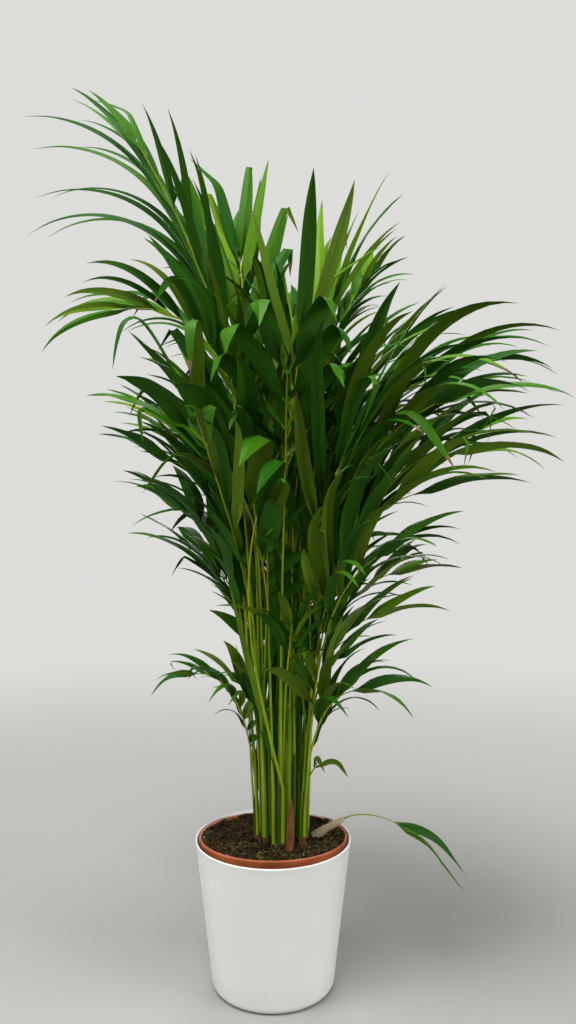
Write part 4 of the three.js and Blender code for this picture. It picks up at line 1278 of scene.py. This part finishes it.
sheaths, midribs = Skein(), Skein()
for frond in young:
    add_sheath(sheaths, frond)
    add_midrib(midribs, frond)
    midrib_space.claim(frond.balls[:, :3], frond.index, 0)
sheaths.piece("young_sheaths", sheath_finishes, "stems", cane_nodes, 50)
midribs.piece("young_midribs", midrib_finishes, "fronds", frond_nodes, 60)
fill(young, 0.9, close_space, 3)
foliage("young_leaflets", young)


inner = Frond(INNER_INDEX, "inner", 0, 0, 700, 80, 1, 200, 16, 0, 0, 1, 1)


class Spear:
    """A first leaflet low on a stalk: it stands upright beside it and has not spread yet."""

    def __init__(self, stalk, seed, turn):
        self.frond, self.seed, self.side = inner, seed, LEFT
        self.left, self.share, self.kinked = 1, 0, False
        shares = np.linspace(0, 1, 80)
        low, high = (150, 300) if seed % 3 == 0 else (290, 460)
        root = mix(low, high, chance(seed, 71))
        root = np.interp(root, stalk.line.point(shares)[:, 2], shares)
        inward = np.append(CLUMP_MIDDLE, 0) - stalk.line.point(root) * (1, 1, 0)
        out = compass(math.atan2(inward[1], inward[0]) + (turn - math.pi) * 0.35)
        lean = np.radians(mix(4, 10, chance(seed, 72))) * (1 - PLACES) ** 0.4
        self.length = mix(150, 240, chance(seed, 73))
        self.along = unit(stalk.line.along(root) + out * np.tan(lean)[:, None])
        hops = self.along * self.length / LEAFLET_STEPS
        hops[0] = stalk.line.point(root) + out * 1.6
        self.at = np.cumsum(hops, axis=0)
        facing = math.pi * chance(seed, 74)
        across = np.array((math.cos(facing), 0.6 * math.sin(facing), 0))
        self.spread = unit(across - self.along * (self.along @ across)[:, None])
        self.half = np.full(len(PLACES), mix(3.2, 5.4, chance(seed, 75)))


SPEARS_ON_A_STALK = 3
SPEAR_TRIES = 14
TALL = 640
FREE_PART = np.linspace(0.16, 1, 40)
stalk_space = Space()
for _, balls in taken:
    stalk_space.claim(balls[:, :3], 0, 0)
for number in range(SPEARS_ON_A_STALK):
    for frond in [frond for frond in fronds + young if frond.tip[2] > TALL]:
        seed = 5000 + 200 * number + frond.index
        for attempt in range(SPEAR_TRIES):
            spear = Spear(frond, seed, 2 * math.pi * chance(seed, 80 + attempt))
            points = keyed(spear.at, FREE_PART)
            edge = keyed(spear.spread, FREE_PART) * 3.5
            points = np.vstack([points - edge, points, points + edge])
            if not stalk_space.clashes(points, False, 0).any():
                stalk_space.claim(points, 0, 0)
                inner.leaflets[number, frond.index] = spear
                break
foliage("inner_leaflets", [inner])

# OLD SHEATHS
# Dead leaf sheaths stay round the foot of the clump: a papery beige one that has fallen over the
# rim and still bears a leaf, a brown pointed one in front, and short brown scraps on the soil.


dry_paper = mottled(
    "dry_paper", 0.8, (130, 5, (0.3, 1, 1)),
    [(0.3, (0.30, 0.215, 0.115)), (0.55, (0.50, 0.41, 0.26)), (0.75, (0.66, 0.58, 0.43))],
    ((600, 4, (0.15, 1, 1)), 0.5, 0.9), Specular_IOR_Level=0.2,
)
husk_brown = mottled(
    "husk_brown", 0.75, (210, 5, (1, 1, 0.12)),
    [(0.3, (0.060, 0.022, 0.008)), (0.55, (0.160, 0.064, 0.022)), (0.8, (0.280, 0.130, 0.050))],
    ((700, 4, (1, 1, 0.1)), 0.5, 0.9), Specular_IOR_Level=0.15,
)
husk_form = Limb(20, [i / 14 for i in range(1, 14)])
SCALE_COUNT = 26


def add_husk(skein, path, radius, opening, wall, lean, aside=0):
    """Adds a thin half-open husk along a path: the form's round section is bent into a C."""
    flat = husk_form.corners.copy()
    turn = np.arctan2(flat[:, 1], flat[:, 0]) / math.pi
    outer = np.abs(turn) <= 0.5
    around = np.where(outer, 2 * turn, 2 * np.sign(turn) * (1 - np.abs(turn)))
    spread = opening(flat[:, 2]) * around + lean
    flat[:, 0], flat[:, 1] = np.cos(spread), np.sin(spread)
    inset = np.where(outer, 0, wall)
    points = swept(path, flat, lambda share, _: np.maximum(radius(share) - inset, 0.2)) + aside
    skein.add(
        points, husk_form, np.zeros(len(husk_form.rows), int), np.zeros((len(points), 2)),
    )


skein = Skein()
add_husk(
    skein, dry_line.point(np.linspace(0, 1, 12)),
    lambda s: np.interp(s, [0, 0.3, 0.7, 1], [5.6, 6.2, 4.6, 3.1]) + 0.4 * np.sin(11 * s),
    lambda s: np.radians(150 - 40 * s), 0.5, math.radians(-130),
)
skein.piece("dry_sheath_husk", [dry_paper], "dry_sheath", ["dry_sheath"], 60)

skein = Skein()
foot = np.array((23, -52, soil_height(23, -52) + SEAT - 1.5))
rise = np.linspace(0, 1, 12)[:, None]
add_husk(
    skein, foot + rise * (0, 2, 71) + np.sin(2.2 * rise) * (1.6, 0, 0),
    lambda s: 5.4 * (1 - s**2.6) ** 0.75 + 0.5,
    lambda s: np.radians(78 - 20 * s), 0.6, -math.pi / 2, np.array((0, 4.2, 0)),
)
skein.piece("brown_sheath_husk", [husk_brown], "brown_sheath", ["brown_sheath"], 60)

skein = Skein()
for i in range(SCALE_COUNT):
    cane = canes[i % CANE_COUNT]
    turn = 2 * math.pi * chance(i, 51)
    away = compass(turn)
    tall = mix(10, 34, chance(i, 52) ** 1.5)
    foot = cane.foot + away * 1.2 - UP * 3
    stout = 5.4 + 0.9 * jitter(i, 53)
    add_husk(
        skein, foot + np.linspace(0, 1, 6)[:, None] * (cane.axis * tall + away * 3.5),
        lambda s: stout * (1 - 0.55 * s**3) + 0.4 * np.sin(9 * s),
        lambda s: np.radians(mix(40, 85, chance(i, 54)) * (1 - 0.75 * s**2)), 0.5, turn,
    )
skein.piece("old_scales", [husk_brown], "stems", cane_nodes, 60)

# STUDIO
# The plant stands on a plain pale floor that fades into an even backdrop, in soft light from large
# panels. The backdrop and the fading are seen by the camera only, so they give the plant no light.
BACKDROP = (0.72, 0.72, 0.70, 1)
world = bpy.data.worlds.new("soft_light")
bpy.context.scene.world = world
world.use_nodes = True
tree = world.node_tree
dim = plug(tree.nodes["Background"], Color=BACKDROP, Strength=0.09)
seen = add_node(tree, "Background", Color=BACKDROP, Strength=1)
by_camera = add_node(tree, "LightPath").outputs["Is Camera Ray"]
either = add_node(tree, "MixShader", by_camera, dim.outputs[0], seen.outputs[0])
plug(tree.nodes["World Output"], Surface=either.outputs["Shader"])

disc = bmesh.new()
bmesh.ops.create_circle(disc, cap_ends=True, segments=96, radius=30)
floor = bpy.data.objects.new("floor", bpy.data.meshes.new("floor"))
disc.to_mesh(floor.data)
disc.free()
bpy.context.collection.objects.link(floor)
pale = new_finish("pale_floor", 0.9, Base_Color=(0.315, 0.312, 0.297, 1))
tree = pale.node_tree
by_camera = add_node(tree, "LightPath").outputs["Is Camera Ray"]
glow = add_node(tree, "Emission", Color=BACKDROP, Strength=by_camera)
distance = add_node(tree, "VectorMath", add_node(tree, "TexCoord").outputs["Object"])
distance.operation = "LENGTH"
fade = add_node(tree, "MapRange", Value=distance.outputs["Value"], From_Min=0.35, From_Max=2.6)
fade.interpolation_type = "SMOOTHSTEP"
plain = tree.nodes["Principled BSDF"]
blend = add_node(tree, "MixShader", fade.outputs["Result"], plain.outputs[0], glow.outputs[0])
plug(tree.nodes["Material Output"], Surface=blend.outputs["Shader"])
floor.data.materials.append(pale)

PLANT_MIDDLE = Vector((0, 0, 0.65))


def panel(name, place, size, power):
    """A soft square light that faces the middle of the plant."""
    light = bpy.data.lights.new(name, "AREA")
    light.shape = "SQUARE"
    light.size = size
    light.energy = power
    lamp = bpy.data.objects.new(name, light)
    lamp.location = place
    lamp.rotation_euler = (PLANT_MIDDLE - Vector(place)).to_track_quat("-Z", "Y").to_euler()
    bpy.context.collection.objects.link(lamp)


panel("overhead_panel", (-0.5, -0.9, 3.4), 1.6, 134)
panel("left_panel", (-2.6, -1.2, 1.6), 1.6, 50)
panel("right_panel", (2.6, -1.2, 1.6), 1.6, 66)
panel("front_panel", (0.3, -3.0, 1.0), 1.6, 10)
panel("back_panel", (0.4, 2.8, 2.2), 2.0, 55)

lens = bpy.data.cameras.new("camera")
lens.sensor_fit = "VERTICAL"
lens.sensor_height = 36
lens.sensor_width = 36
lens.lens = 30.21
camera = bpy.data.objects.new("camera", lens)
camera.location = (0.0208, -1.2013, 0.6815)
camera.rotation_euler = (math.radians(89.03), 0, 0)
bpy.context.collection.objects.link(camera)
bpy.context.scene.camera = camera
bpy.context.scene.view_settings.view_transform = "Standard"
